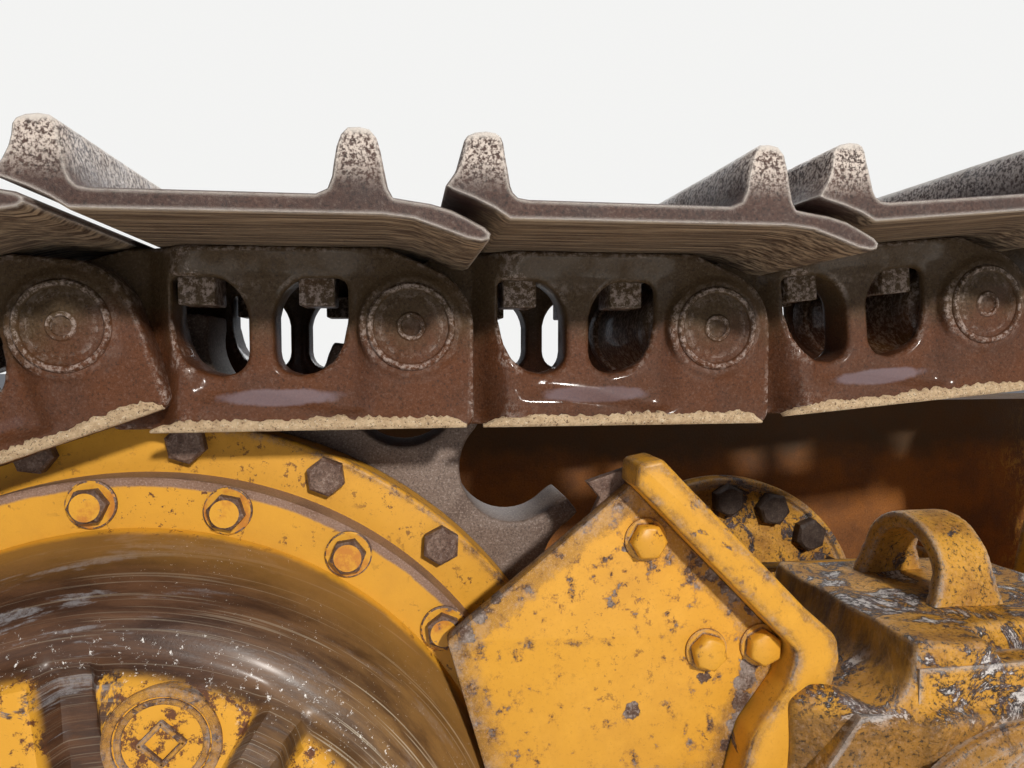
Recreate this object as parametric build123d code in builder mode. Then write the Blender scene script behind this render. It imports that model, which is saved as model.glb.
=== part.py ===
"""One side of a crawler undercarriage: track, sprocket, final drive, roller frame, idler and frame rail.

X runs forward, Y inboard towards the machine and Z up, in millimetres. The origin is on the sprocket's axis,
in the face where the final drive meets the frame rail. The sizes below count Y from the middle plane of the
track, which lies RAIL_FACE outboard of that face. The ground is at -(BOTTOM_PINS + SHOE_TOP).
"""

import os
from math import acos, atan2, cos, degrees, hypot, pi, radians, sin

from build123d import *

# Track chain
PITCH = 203.0
LINKS = 36
RAIL_DEPTH = 65.0  # from the pins' line in to the rail that the rollers run on
RAIL_HALF = 68.0  # half the length of a link's straight rail
SHOE_SEAT = 50.0  # from the pins' line out to the shoe
LINK_IN = 60.0  # inner face of each link strand, from the middle plane
LINK_OUT = 100.0
BUSHING_R = 37.0
WINDOW_LOW = -27.0
WINDOW_HIGH = 31.0
WINDOWS = ((57.0, 100.0), (118.0, 161.0))  # from, to along the link, for the two shoe nut windows

# Track shoe, along the link from its rear pin and out from the pins' line
SHOE_HALF = 209.0
PLATE_TOP = 60.0
SHOE_TOP = 93.0  # grouser tips
GROUSERS = ((26.0, 44.5), (178.0, 193.0))  # from, to at each tip
GROUSER_FLARE = 5.5
HOOK = (16.5, 65.5)
LIP = (250.5, 41.0)
SEAT = (56.0, 208.0)  # from, to of the flat that lies on the links
NOTCH = (247.0, 20.0)  # bottom of the gap in the links' edge under the lip

# Sprocket
TEETH = 23  # each bushing sits in every other pocket
TOOTH_HALF = 28.0
POCKET_GAP = 5.0  # round a bushing in its pocket
TOOTH_FLARE = 3.0  # how much wider each side of a pocket is at the tooth tips
TOOTH_RISE = 13.0  # from the pins' circle out to the tips
RIM_IN = 276.0
TOP_PIN_DEG = 93.4  # the pin that sits nearest the sprocket's top

# Sprocket hub and final drive, radii and places along Y
RING_R = 315.0
RING_FACE = 56.0
HUB_R = 222.0
HUB_BACK = 40.0
COVER_FLANGE_R = 280.0
COVER_FLANGE = 24.0
DOME_R = 247.0
PADS_R = 200.0
DOME_HEIGHT = 88.0
PADS = 10
PAD_DEG = 72.8  # middle of the pad that carries the oil plug
VALLEY_HALF = 13.0
VALLEY_DEPTH = 17.0
CAP_R = 72.0
SPINDLE_R = 118.0
CASE_R = 205.0
CASE_FLANGE_R = 240.0
CASE_FLANGE = 24.0
SPINDLE_END = 50.0
MOTOR_PILOT_R = 76.2
MOTOR_PILOT_DEPTH = 12.0
MOTOR_BOLTS = 4
MOTOR_BOLT_R = 10.3
MOTOR_BOLT_CIRCLE_R = 114.3
MOTOR_BOLT_DEPTH = 35.0
MOTOR_OPENING_R = 150.0

# Rollers, carriers and idler
BOTTOM_PINS = 430.0  # pins' line of the ground run, below the origin
ROLLERS = 6
ROLLER_FIRST = 475.0
ROLLER_STEP = 300.0
REAR_LIFT_OFF = 207.0  # how far behind the first roller the chain starts to rise
ROLLER_TREAD_R = 95.0
ROLLER_FLANGE_R = 113.0
ROLLER_SHAFT_R = 32.0
SEAT_GAP = 0.3  # between a rail and the roller it rests on
RUNNING_GAP = 0.05
CARRIERS = ((944.0, 426.0), (1700.0, 426.0))  # X and height of the pins' line over each carrier roller
SAG = 12.0  # between the carriers
TOP_FLAT = 384.0  # how far the top run leaves the sprocket level
CARRIER_R = 80.0
CARRIER_SHAFT_R = 30.0
IDLER_TREAD_R = 325.0
IDLER_RAIL_GAP = 5.0
IDLER_FLANGE_R = 350.0
IDLER_SHAFT_R = 45.0
YOKE_IN = 114.0
YOKE_HALF = 48.0
YOKE_BACK = 470.0  # front face of the yoke's cross piece, behind the idler's axis
YOKE_BACK_THICK = 90.0

# Roller frame
WEB_IN = 140.0
WEB_OUT = 160.0
FRAME_BOTTOM = -225.0
FRAME_TOP = 66.0
FRAME_HEAD_TOP = 158.0
FRAME_LEDGE = 130.0  # top of the pivot's casting and of the inboard web, lower than the head
HEAD_IN = 20.0  # how far inboard the raised head reaches
FRAME_REAR = 384.0
HEAD_REAR = 500.0
FRAME_PLATE = 16.0
GUARD_PLATE = 14.0
PIVOT = (572.0, 18.0)
PIVOT_R = 65.0
PIVOT_HOUSING_R = 108.0
PIVOT_CASTING = 12.0  # how far the pivot's casting stands out from the web
PIVOT_CAP_R = 110.0
PIVOT_CAP = 16.0
PIVOT_FLANGE_R = 184.0
PIVOT_FLANGE = 25.0

# Plate over the sprocket's front and the bar along its edge
GUARD_IN = -100.0
GUARD_OUT = -112.0
GUARD_REAR = ((320.0, 290.0), (202.0, 173.0), (234.0, 62.0))
GUARD_BAR_IN = (
    (388.0, 62.0), (400.0, 108.0), (424.0, 140.0), (431.0, 163.0), (416.0, 178.0), (320.0, 276.0),
)
GUARD_BAR_OUT = (
    (320.0, 290.0), (334.0, 293.0), (436.0, 192.0), (459.0, 172.0), (461.0, 156.0), (446.0, 118.0),
    (425.0, 87.0), (409.0, 46.0), (409.0, -14.0), (388.0, -14.0),
)

# Strap bent into an eye on the frame's head
EYE_X = (565.0, 608.0)
EYE_Y = -53.0
EYE_R = 48.0
EYE_STRAP = 14.0
EYE_LEG = 10.0

# Lug for the equalizer bar
EQUALIZER = (1300.0, 262.0, -50.0)
EQUALIZER_PIN_R = 30.0
EQUALIZER_GAP = 70.0
EQUALIZER_CHEEK = 25.0

# Frame rail of the machine
RAIL_FACE = 300.0
RAIL_WIDTH = 120.0
RAIL_WALL = 16.0
RAIL_FRONT = 2250.0
RAIL_TOP = 296.0
RAIL_BOTTOM = 26.0
CROSS_MEMBERS = ((1150.0, 161.0), (2080.0, 161.0))  # middle of each bolt group in the rail's web
CROSS_BOLTS = (160.0, 140.0)
CROSS_BOLT_R = 13.0

PARTS = "parts"
os.makedirs(PARTS, exist_ok=True)

sprocket_pitch_r = PITCH / (2 * sin(2 * pi / TEETH))
tip_r = sprocket_pitch_r + TOOTH_RISE
pocket_r = BUSHING_R + POCKET_GAP
idler_pitch_r = hypot(IDLER_TREAD_R + IDLER_RAIL_GAP + RAIL_DEPTH, PITCH / 2)
idler_z = idler_pitch_r - BOTTOM_PINS
roller_z = RAIL_DEPTH + SEAT_GAP + ROLLER_TREAD_R - BOTTOM_PINS
cover_face = RING_FACE + COVER_FLANGE


def save(name, piece):
    """Labels a finished piece with its node's name and writes its STEP file."""
    piece.part.label = name
    export_step(piece.part, os.path.join(PARTS, name + ".step"))


def slab(low, high):
    """A side-view plane and a thickness, to extrude outboard through a slab from high down to low in Y."""
    return Plane.XZ.offset(RAIL_FACE - high), high - low


def lathe(centre=(0.0, 0.0)):
    """The plane for half an outline of a turned piece, as (radius, Y), and the axis that it turns about."""
    plane = Plane(origin=(centre[0], -RAIL_FACE, centre[1]), x_dir=(1, 0, 0), z_dir=(0, 0, 1))
    return plane, Axis((centre[0], 0, centre[1]), (0, 1, 0))


def station(x):
    """The plane across the unit at a distance along it, as (Y, Z), to extrude forward."""
    return Plane(origin=(x, -RAIL_FACE, 0), x_dir=(0, 1, 0), z_dir=(1, 0, 0))


def mirrored(half):
    """A turned piece's whole outline from its inboard half, as (radius, Y) from the middle plane out."""
    return [*half, *[(r, -y) for r, y in reversed(half[1:])]]


def polar(centre, radius, angle):
    """A point at an angle in degrees on a circle in the XZ plane."""
    return centre[0] + radius * cos(radians(angle)), centre[1] + radius * sin(radians(angle))


def tangent_angle(point, centre, radius, above):
    """Where a line from a point outside touches a circle, as an angle in degrees."""
    away = degrees(atan2(point[1] - centre[1], point[0] - centre[0]))
    half = degrees(acos(radius / hypot(point[0] - centre[0], point[1] - centre[1])))
    return away - half if above else away + half


def pins_path(idler_x):
    """The closed path of the pins, clockwise from the sprocket's top pin, as lines and arcs."""
    idler = (idler_x, idler_z)
    middle = ((CARRIERS[0][0] + CARRIERS[1][0]) / 2, CARRIERS[0][1] - SAG)
    top = [(0, sprocket_pitch_r), (TOP_FLAT, sprocket_pitch_r), CARRIERS[0], middle, CARRIERS[1]]
    leave = tangent_angle(CARRIERS[1], idler, idler_pitch_r, True)
    top.append(polar(idler, idler_pitch_r, leave))
    rear = (ROLLER_FIRST - REAR_LIFT_OFF, -BOTTOM_PINS)
    arrive = tangent_angle(rear, (0, 0), sprocket_pitch_r, True)
    stretches = [("arc", (0, 0), sprocket_pitch_r, TOP_PIN_DEG, 90.0)]
    stretches += [("line", a, b) for a, b in zip(top, top[1:])]
    stretches.append(("arc", idler, idler_pitch_r, leave, -90.0))
    stretches.append(("line", (idler_x, -BOTTOM_PINS), rear))
    stretches.append(("line", rear, polar((0, 0), sprocket_pitch_r, arrive)))
    stretches.append(("arc", (0, 0), sprocket_pitch_r, arrive, TOP_PIN_DEG - 360))
    return stretches


def length_of(stretch):
    if stretch[0] == "line":
        return hypot(stretch[2][0] - stretch[1][0], stretch[2][1] - stretch[1][1])
    return stretch[2] * radians(stretch[3] - stretch[4])


def point_at(stretches, distance):
    """The point on the path at a distance from its start, carried on along the last stretch."""
    for stretch in stretches:
        length = length_of(stretch)
        if distance <= length or stretch is stretches[-1]:
            break
        distance -= length
    share = distance / length
    if stretch[0] == "line":
        a, b = stretch[1:]
        return a[0] + (b[0] - a[0]) * share, a[1] + (b[1] - a[1]) * share
    return polar(stretch[1], stretch[2], stretch[3] + (stretch[4] - stretch[3]) * share)


def walk(idler_x):
    """The pins one pitch apart along the path, and how far the last one lies past the first."""
    stretches = pins_path(idler_x)
    distance, pins = 0.0, [point_at(stretches, 0.0)]
    for _ in range(LINKS):
        low, high = distance + PITCH * 0.9, distance + PITCH * 1.2
        for _ in range(40):
            middle = (low + high) / 2
            x, z = point_at(stretches, middle)
            if hypot(x - pins[-1][0], z - pins[-1][1]) < PITCH:
                low = middle
            else:
                high = middle
        distance = low
        pins.append(point_at(stretches, distance))
    return pins[:-1], distance - sum(length_of(s) for s in stretches)


def close_chain():
    """Slides the idler, as the track adjuster does, until the chain's links just close."""
    low, high = 2100.0, 2700.0
    for _ in range(40):
        middle = (low + high) / 2
        if walk(middle)[1] > 0:
            low = middle
        else:
            high = middle
    return low, walk(low)[0]


idler_x, pins = close_chain()
idler_centre = (idler_x, idler_z)


def on_link(number, points):
    """Points given along a link and out from its pins' line, moved to that link of the closed chain."""
    (ax, az), (bx, bz) = pins[number], pins[(number + 1) % LINKS]
    ux, uz = (bx - ax) / PITCH, (bz - az) / PITCH
    return [(ax + x * ux - z * uz, az + x * uz + z * ux) for x, z in points]


def around(points):
    """The same points given on every link, as one closed outline."""
    return [point for number in range(LINKS) for point in on_link(number, points)]


def window(start, end):
    """Outline of a nut window."""
    return (start, WINDOW_LOW), (end, WINDOW_LOW), (end, WINDOW_HIGH), (start, WINDOW_HIGH)


def seat_under_chain(x, radius):
    """Centre height of a roller that carries the chain at x, just clear of the rails of the links over it."""
    low, high = 0.0, sprocket_pitch_r
    for _ in range(40):
        middle = (low + high) / 2
        gaps = []
        for number in range(LINKS // 2):
            (ax, az), (bx, bz) = on_link(number, RAIL_ENDS)
            share = ((x - ax) * (bx - ax) + (middle - az) * (bz - az)) / hypot(bx - ax, bz - az) ** 2
            share = min(1.0, max(0.0, share))
            gaps.append(hypot(x - ax - share * (bx - ax), middle - az - share * (bz - az)) - radius)
        if min(gaps) > SEAT_GAP:
            low = middle
        else:
            high = middle
    return low


# Outline of a shoe: hooked front edge, two grousers, and the curved lip that tucks under the next shoe
(g1, g2), (g3, g4) = GROUSERS
SHOE = (
    (SEAT[0], SHOE_SEAT),
    HOOK,
    (g1, SHOE_TOP),
    (g2, SHOE_TOP),
    (g2 + GROUSER_FLARE, PLATE_TOP),
    (g3 - GROUSER_FLARE, PLATE_TOP),
    (g3, SHOE_TOP),
    (g4, SHOE_TOP),
    (g4 + GROUSER_FLARE, PLATE_TOP),
    LIP,
    (SEAT[1], SHOE_SEAT),
)
LINK_EDGE = ((SEAT[0], SHOE_SEAT), (SEAT[1], SHOE_SEAT), NOTCH)
RAIL_ENDS = ((PITCH / 2 - RAIL_HALF, -RAIL_DEPTH), (PITCH / 2 + RAIL_HALF, -RAIL_DEPTH))


def track():
    """Both strands of links and the shoes over them. The bushings lie hidden between the strands."""
    with BuildPart() as loop:
        for low, high in ((-LINK_OUT, -LINK_IN), (LINK_IN, LINK_OUT)):
            plane, thick = slab(low, high)
            with BuildSketch(plane):
                Polygon(*around(LINK_EDGE), align=None)
                Polygon(*around(RAIL_ENDS), align=None, mode=Mode.SUBTRACT)
                for number in range(LINKS):
                    for start, end in WINDOWS:
                        Polygon(*on_link(number, window(start, end)), align=None, mode=Mode.SUBTRACT)
            extrude(amount=thick)
        plane, thick = slab(-SHOE_HALF, SHOE_HALF)
        with BuildSketch(plane):
            for number in range(LINKS):
                Polygon(*on_link(number, SHOE), align=None)
        extrude(amount=thick)
    return loop


def sprocket_rim():
    """Toothed rim with pockets for the bushings."""
    plane, thick = slab(-TOOTH_HALF, TOOTH_HALF)
    mouth = pocket_r + TOOTH_FLARE
    with BuildPart() as rim:
        with BuildSketch(plane):
            Circle(tip_r)
            Circle(RIM_IN, mode=Mode.SUBTRACT)
            with PolarLocations(sprocket_pitch_r, TEETH, start_angle=TOP_PIN_DEG):
                Circle(pocket_r, mode=Mode.SUBTRACT)
                Polygon(
                    (0, -pocket_r), (TOOTH_RISE, -mouth), (2 * TOOTH_RISE, -mouth), (2 * TOOTH_RISE, mouth),
                    (TOOTH_RISE, mouth), (0, pocket_r), align=None, mode=Mode.SUBTRACT,
                )
        extrude(amount=thick)
    return rim


def turned(profile):
    """Revolves an outline of (distance along Y, radius) points about the sprocket's axis."""
    plane, axis = lathe()
    with BuildPart() as piece:
        with BuildSketch(plane):
            Polygon(*[(r, y) for y, r in profile], align=None)
        revolve(axis=axis)
    return piece


def sprocket_hub():
    """Hub that carries the segments behind its outer ring, round the fixed spindle."""
    inner = SPINDLE_R + 1
    return turned((
        (-RING_FACE, inner), (-RING_FACE, RING_R), (-TOOTH_HALF, RING_R), (-TOOTH_HALF, RIM_IN - 1),
        (-TOOTH_HALF + 26, RIM_IN - 1), (-TOOTH_HALF + 34, HUB_R), (HUB_BACK, HUB_R), (HUB_BACK, inner),
    ))


def final_drive_cover():
    """Domed cover bolted over the planetary gears, with pads round its middle that valleys part."""
    top = cover_face + DOME_HEIGHT
    plane, axis = lathe()
    with BuildPart() as cover:
        with BuildSketch(plane):
            with BuildLine():
                Polyline(
                    (0, -RING_FACE), (COVER_FLANGE_R, -RING_FACE), (COVER_FLANGE_R, -cover_face),
                    (DOME_R, -cover_face),
                )
                ThreePointArc((DOME_R, -cover_face), (PADS_R + 25, -top + 38), (PADS_R, -top + 13))
                Polyline(
                    (PADS_R, -top + 13), (PADS_R - 13, -top), (CAP_R + 48, -top),
                    (CAP_R + 36, -top + VALLEY_DEPTH), (CAP_R, -top + VALLEY_DEPTH), (CAP_R, -top - 4),
                    (0, -top - 4), (0, -RING_FACE),
                )
            make_face()
        revolve(axis=axis)
        for number in range(PADS):
            angle = PAD_DEG + (number + 0.5) * 360 / PADS
            x, z = polar((0, 0), CAP_R + 20, angle)
            out = Vector(cos(radians(angle)), 0, sin(radians(angle)))
            floor = VALLEY_DEPTH - 1
            with BuildSketch(Plane(origin=(x, -RAIL_FACE - top, z), x_dir=(-out.Z, 0, out.X), z_dir=out)):
                Polygon(
                    (-VALLEY_HALF - 6, 10), (-VALLEY_HALF, 0), (-VALLEY_HALF / 2, -floor),
                    (VALLEY_HALF / 2, -floor), (VALLEY_HALF, 0), (VALLEY_HALF + 6, 10), align=None,
                )
            extrude(amount=PADS_R, mode=Mode.SUBTRACT)
    return cover


def final_drive_case():
    """Fixed case and spindle that carry the hub, with the drive motor's pilot bore and bolt holes."""
    start = HUB_BACK + SEAT_GAP
    plane, axis = lathe()
    with BuildPart() as case:
        with BuildSketch(plane):
            Polygon(
                (0, -SPINDLE_END), (SPINDLE_R, -SPINDLE_END), (SPINDLE_R, start), (HUB_R - 5, start),
                (HUB_R - 5, start + 26), (CASE_R, start + 40), (CASE_R, RAIL_FACE - CASE_FLANGE),
                (CASE_FLANGE_R, RAIL_FACE - CASE_FLANGE), (CASE_FLANGE_R, RAIL_FACE), (0, RAIL_FACE),
                align=None,
            )
        revolve(axis=axis)
        with BuildSketch(Plane.XZ):
            Circle(MOTOR_PILOT_R)
        extrude(amount=MOTOR_PILOT_DEPTH, mode=Mode.SUBTRACT)
        with BuildSketch(Plane.XZ):
            with PolarLocations(MOTOR_BOLT_CIRCLE_R, MOTOR_BOLTS, start_angle=45):
                Circle(MOTOR_BOLT_R)
        extrude(amount=MOTOR_BOLT_DEPTH, mode=Mode.SUBTRACT)
    return case


def frame_rail():
    """Channel rail of the machine's frame, with a round head for the final drive."""
    plane, thick = slab(RAIL_FACE, RAIL_FACE + RAIL_WIDTH)
    head = CASE_FLANGE_R + 25
    flange_low = PIVOT[1] - PIVOT_FLANGE_R - RAIL_WALL
    outline = (
        (0, head), (PIVOT[0] - 250, RAIL_TOP), (RAIL_FRONT, RAIL_TOP), (RAIL_FRONT, RAIL_BOTTOM),
        (PIVOT[0] + 350, RAIL_BOTTOM), (PIVOT[0] + 130, flange_low), (PIVOT[0] - 130, flange_low), (0, -head),
    )
    with BuildPart() as rail:
        with BuildSketch(plane) as shape:
            Circle(head)
            Polygon(*outline, align=None)
        extrude(amount=thick)
        with BuildSketch(plane):
            add(offset(shape.sketch, amount=-RAIL_WALL, mode=Mode.PRIVATE))
        extrude(amount=RAIL_WIDTH - RAIL_WALL, mode=Mode.SUBTRACT)
        with BuildSketch(plane):
            Circle(MOTOR_OPENING_R)
            for middle in CROSS_MEMBERS:
                with Locations(middle):
                    with GridLocations(*CROSS_BOLTS, 2, 2):
                        Circle(CROSS_BOLT_R)
        extrude(amount=RAIL_WIDTH, mode=Mode.SUBTRACT)
    return rail


# Top edge of the roller frame: level head, then the slope down to the beam, and where the slope passes the ledge
head_front = PIVOT[0] + 120
slope_end = PIVOT[0] + 270
ledge_x = slope_end - (slope_end - head_front) * (FRAME_LEDGE - FRAME_TOP) / (FRAME_HEAD_TOP - FRAME_TOP)


def web_outline(side):
    """Side view of a roller frame web: head round the pivot, raised outboard, then the long beam to the idler."""
    front = idler_x - 210
    head = ((HEAD_REAR, FRAME_HEAD_TOP), (head_front, FRAME_HEAD_TOP)) if side < 0 else ()
    return (
        (FRAME_REAR + 10, FRAME_BOTTOM), (FRAME_REAR, FRAME_BOTTOM + 60), (FRAME_REAR, 26),
        (FRAME_REAR + 40, 80), (HEAD_REAR - 40, FRAME_LEDGE), (HEAD_REAR, FRAME_LEDGE), *head,
        (ledge_x, FRAME_LEDGE), (slope_end, FRAME_TOP), (idler_x - 400, FRAME_TOP),
        (front, 30), (front, -90), (front - 120, FRAME_BOTTOM),
    )


def frame_web(side):
    """One web of the roller frame, with the foot flange that the roller collars bolt to."""
    low, high = (-WEB_OUT, -WEB_IN) if side < 0 else (WEB_IN, WEB_OUT)
    plane, thick = slab(low, high)
    foot_plane, foot_thick = slab(*((-WEB_OUT, -WEB_IN + 22) if side < 0 else (WEB_IN - 22, WEB_OUT)))
    front = idler_x - 330
    with BuildPart() as web:
        with BuildSketch(plane):
            Polygon(*web_outline(side), align=None)
            with Locations(PIVOT):
                Circle(PIVOT_HOUSING_R, mode=Mode.SUBTRACT)
        extrude(amount=thick)
        with BuildSketch(foot_plane):
            Polygon(
                (FRAME_REAR + 10, FRAME_BOTTOM), (front, FRAME_BOTTOM), (front, FRAME_BOTTOM + 20),
                (FRAME_REAR + 10, FRAME_BOTTOM + 20), align=None,
            )
        extrude(amount=foot_thick)
    return web


def frame_top_plate():
    """Plate over the tops of the webs, with the walls that close the raised head's rear and inboard side."""
    beam = ((ledge_x, FRAME_LEDGE), (slope_end, FRAME_TOP), (idler_x - 400, FRAME_TOP))
    head = ((HEAD_REAR, FRAME_HEAD_TOP), (head_front, FRAME_HEAD_TOP), (ledge_x, FRAME_LEDGE))
    with BuildPart() as plate:
        for edge, inner in ((beam, WEB_OUT), (head, HEAD_IN)):
            plane, thick = slab(-WEB_OUT, inner)
            with BuildSketch(plane):
                Polygon(*edge, *[(x, z + FRAME_PLATE) for x, z in reversed(edge)], align=None)
            extrude(amount=thick)
        plane, thick = slab(-WEB_IN, HEAD_IN)
        wall = HEAD_REAR + FRAME_PLATE
        low = FRAME_LEDGE - 14
        with BuildSketch(plane):
            Polygon(
                (HEAD_REAR, low), (wall, low), (wall, FRAME_HEAD_TOP), (HEAD_REAR, FRAME_HEAD_TOP), align=None
            )
        extrude(amount=thick)
        plane, thick = slab(HEAD_IN - FRAME_PLATE, HEAD_IN)
        with BuildSketch(plane):
            Polygon((HEAD_REAR, FRAME_LEDGE), *head, align=None)
        extrude(amount=thick)
    return plate


def pivot_housing():
    """Tube through both webs for the pivot, with the casting that stiffens the outboard web round it."""
    with BuildPart() as tube:
        plane, thick = slab(-WEB_OUT - PIVOT_CASTING, WEB_OUT + 6)
        with BuildSketch(plane):
            with Locations(PIVOT):
                Circle(PIVOT_HOUSING_R)
        extrude(amount=thick)
        plane, thick = slab(-WEB_OUT - PIVOT_CASTING, -WEB_OUT)
        x, z = PIVOT
        with BuildSketch(plane):
            Polygon(
                (FRAME_REAR + 14, z - 60), (FRAME_REAR + 14, 34), (FRAME_REAR + 48, 84),
                (HEAD_REAR - 38, FRAME_LEDGE), (x + 95, FRAME_LEDGE), (x + 150, z + 60), (x + 150, z - 70),
                (x + 90, z - 125), (x - 90, z - 125), align=None,
            )
        extrude(amount=thick)
        plane, thick = slab(-WEB_OUT - PIVOT_CASTING, WEB_OUT + 6)
        with BuildSketch(plane):
            with Locations(PIVOT):
                Circle(PIVOT_R + RUNNING_GAP)
        extrude(amount=thick, mode=Mode.SUBTRACT)
    return tube


def pivot_shaft():
    """Shaft that the roller frame rocks on, with the round flange that bolts to the frame rail."""
    plane, thick = slab(RAIL_FACE - PIVOT_FLANGE, RAIL_FACE)
    shaft_plane, shaft_thick = slab(-WEB_OUT, RAIL_FACE)
    with BuildPart() as shaft:
        with BuildSketch(plane):
            with Locations(PIVOT):
                Circle(PIVOT_FLANGE_R)
        extrude(amount=thick)
        with BuildSketch(shaft_plane):
            with Locations(PIVOT):
                Circle(PIVOT_R)
        extrude(amount=shaft_thick)
    return shaft


def pivot_cap():
    face = -WEB_OUT - PIVOT_CASTING
    plane, thick = slab(face - PIVOT_CAP, face)
    with BuildPart() as cap:
        with BuildSketch(plane):
            with Locations(PIVOT):
                Circle(PIVOT_CAP_R)
        extrude(amount=thick)
        chamfer(cap.faces().sort_by(Axis.Y)[0].edges(), 6)
    return cap


def sprocket_guard():
    """Plate that keeps stones out of the sprocket."""
    plane, thick = slab(GUARD_OUT, GUARD_IN)
    with BuildPart() as guard:
        with BuildSketch(plane):
            Polygon(*GUARD_REAR, *GUARD_BAR_IN, align=None)
        extrude(amount=thick)
    return guard


def guard_rib():
    """Bar along the guard's front edge that curves back down into the frame's head."""
    plane, thick = slab(-WEB_IN, GUARD_IN)
    with BuildPart() as rib:
        with BuildSketch(plane):
            Polygon(*GUARD_BAR_OUT, *GUARD_BAR_IN, align=None)
        extrude(amount=thick)
    return rib


def lifting_eye():
    """Strap bent into an arch across the frame's head."""
    start, end = EYE_X
    foot = FRAME_HEAD_TOP + FRAME_PLATE
    with BuildPart() as eye:
        with BuildSketch(station(start)):
            for radius, mode in ((EYE_R, Mode.ADD), (EYE_R - EYE_STRAP, Mode.SUBTRACT)):
                with Locations((EYE_Y, foot + EYE_LEG)):
                    Circle(radius, mode=mode)
                with Locations((EYE_Y, foot + EYE_LEG / 2)):
                    Rectangle(2 * radius, EYE_LEG, mode=mode)
            with Locations((EYE_Y, foot - EYE_R)):
                Rectangle(4 * EYE_R, 2 * EYE_R, mode=Mode.SUBTRACT)
        extrude(amount=end - start)
    return eye


def track_roller(number):
    """Roller shell with a tread for each rail and a flange outside it."""
    plane, axis = lathe((ROLLER_FIRST + number * ROLLER_STEP, roller_z))
    half = (
        (70, 0), (70, 52), (ROLLER_TREAD_R, 58), (ROLLER_TREAD_R, 103), (ROLLER_FLANGE_R, 106),
        (ROLLER_FLANGE_R - 3, 118), (ROLLER_SHAFT_R + SEAT_GAP, 118),
    )
    with BuildPart() as roller:
        with BuildSketch(plane):
            Polygon(*mirrored(half), align=None)
        revolve(axis=axis)
    return roller


def roller_shaft(number):
    """Fixed shaft of a track roller, with the collar at each end that bolts up to the frame's foot."""
    x = ROLLER_FIRST + number * ROLLER_STEP
    with BuildPart() as shaft:
        plane, thick = slab(-152, 152)
        with BuildSketch(plane):
            with Locations((x, roller_z)):
                Circle(ROLLER_SHAFT_R)
        extrude(amount=thick)
        for low, high in ((-150, -120), (120, 150)):
            plane, thick = slab(low, high)
            with BuildSketch(plane):
                Polygon(
                    (x - 62, FRAME_BOTTOM), (x - 40, roller_z - 40), (x + 40, roller_z - 40),
                    (x + 62, FRAME_BOTTOM), align=None,
                )
            extrude(amount=thick)
    return shaft


def carrier_centre(number):
    return CARRIERS[number][0], seat_under_chain(CARRIERS[number][0], CARRIER_R)


def carrier_roller(number):
    plane, axis = lathe(carrier_centre(number))
    half = (
        (55, 0), (55, 50), (CARRIER_R, 56), (CARRIER_R, 104), (CARRIER_R + 16, 106), (CARRIER_R + 14, 116),
        (CARRIER_SHAFT_R + SEAT_GAP, 116),
    )
    with BuildPart() as roller:
        with BuildSketch(plane):
            Polygon(*mirrored(half), align=None)
        revolve(axis=axis)
    return roller


def carrier_bracket(number):
    """Post on the frame's top plate with the carrier roller's shaft."""
    x, z = carrier_centre(number)
    foot = FRAME_TOP + FRAME_PLATE
    with BuildPart() as bracket:
        plane, thick = slab(-122, 148)
        with BuildSketch(plane):
            with Locations((x, z)):
                Circle(CARRIER_SHAFT_R)
        extrude(amount=thick)
        plane, thick = slab(120, 148)
        with BuildSketch(plane):
            Polygon(
                (x - 90, foot), (x + 90, foot), (x + 45, z + 20), (x + 20, z + 45), (x - 20, z + 45),
                (x - 45, z + 20), align=None,
            )
        extrude(amount=thick)
    return bracket


def idler_wheel():
    """Front idler with a raised middle flange between the rails and dished sides."""
    plane, axis = lathe(idler_centre)
    half = (
        (IDLER_FLANGE_R, 0), (IDLER_FLANGE_R, 44), (IDLER_TREAD_R, 52), (IDLER_TREAD_R, 106),
        (IDLER_TREAD_R - 30, 106), (IDLER_TREAD_R - 52, 66), (130, 52), (100, 88), (96, 108),
        (IDLER_SHAFT_R + RUNNING_GAP, 108),
    )
    with BuildPart() as wheel:
        with BuildSketch(plane):
            Polygon(*mirrored(half), align=None)
        revolve(axis=axis)
    return wheel


def idler_shaft():
    plane, thick = slab(SEAT_GAP - WEB_IN, WEB_IN - SEAT_GAP)
    with BuildPart() as shaft:
        with BuildSketch(plane):
            with Locations(idler_centre):
                Circle(IDLER_SHAFT_R)
        extrude(amount=thick)
    return shaft


def idler_yoke():
    """Fork that carries the idler's shaft and slides between the webs as the chain is tightened."""
    outer = WEB_IN - SEAT_GAP
    back = idler_x - YOKE_BACK
    with BuildPart() as yoke:
        for low, high in ((-outer, -YOKE_IN), (YOKE_IN, outer)):
            plane, thick = slab(low, high)
            with BuildSketch(plane):
                Polygon(
                    (back, idler_z - YOKE_HALF), (idler_x + 20, idler_z - YOKE_HALF),
                    (idler_x + 60, idler_z - 20), (idler_x + 60, idler_z + 20),
                    (idler_x + 20, idler_z + YOKE_HALF), (back, idler_z + YOKE_HALF), align=None,
                )
                with Locations(idler_centre):
                    Circle(IDLER_SHAFT_R, mode=Mode.SUBTRACT)
            extrude(amount=thick)
        with BuildSketch(station(back - YOKE_BACK_THICK)):
            with Locations((0, idler_z)):
                Rectangle(2 * outer, 2 * YOKE_HALF)
        extrude(amount=YOKE_BACK_THICK)
    return yoke


def recoil_housing():
    """Tube of the recoil spring, and the adjuster's rod that pushes the yoke forward."""
    start = PIVOT[0] + PIVOT_HOUSING_R + 120
    rod_end = idler_x - YOKE_BACK - YOKE_BACK_THICK
    with BuildPart() as tube:
        with BuildSketch(station(start)):
            with Locations((0, idler_z)):
                Circle(84)
        extrude(amount=rod_end - 160 - start)
        with BuildSketch(station(start)):
            with Locations((0, idler_z)):
                Circle(34)
        extrude(amount=rod_end - start)
    return tube


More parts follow.
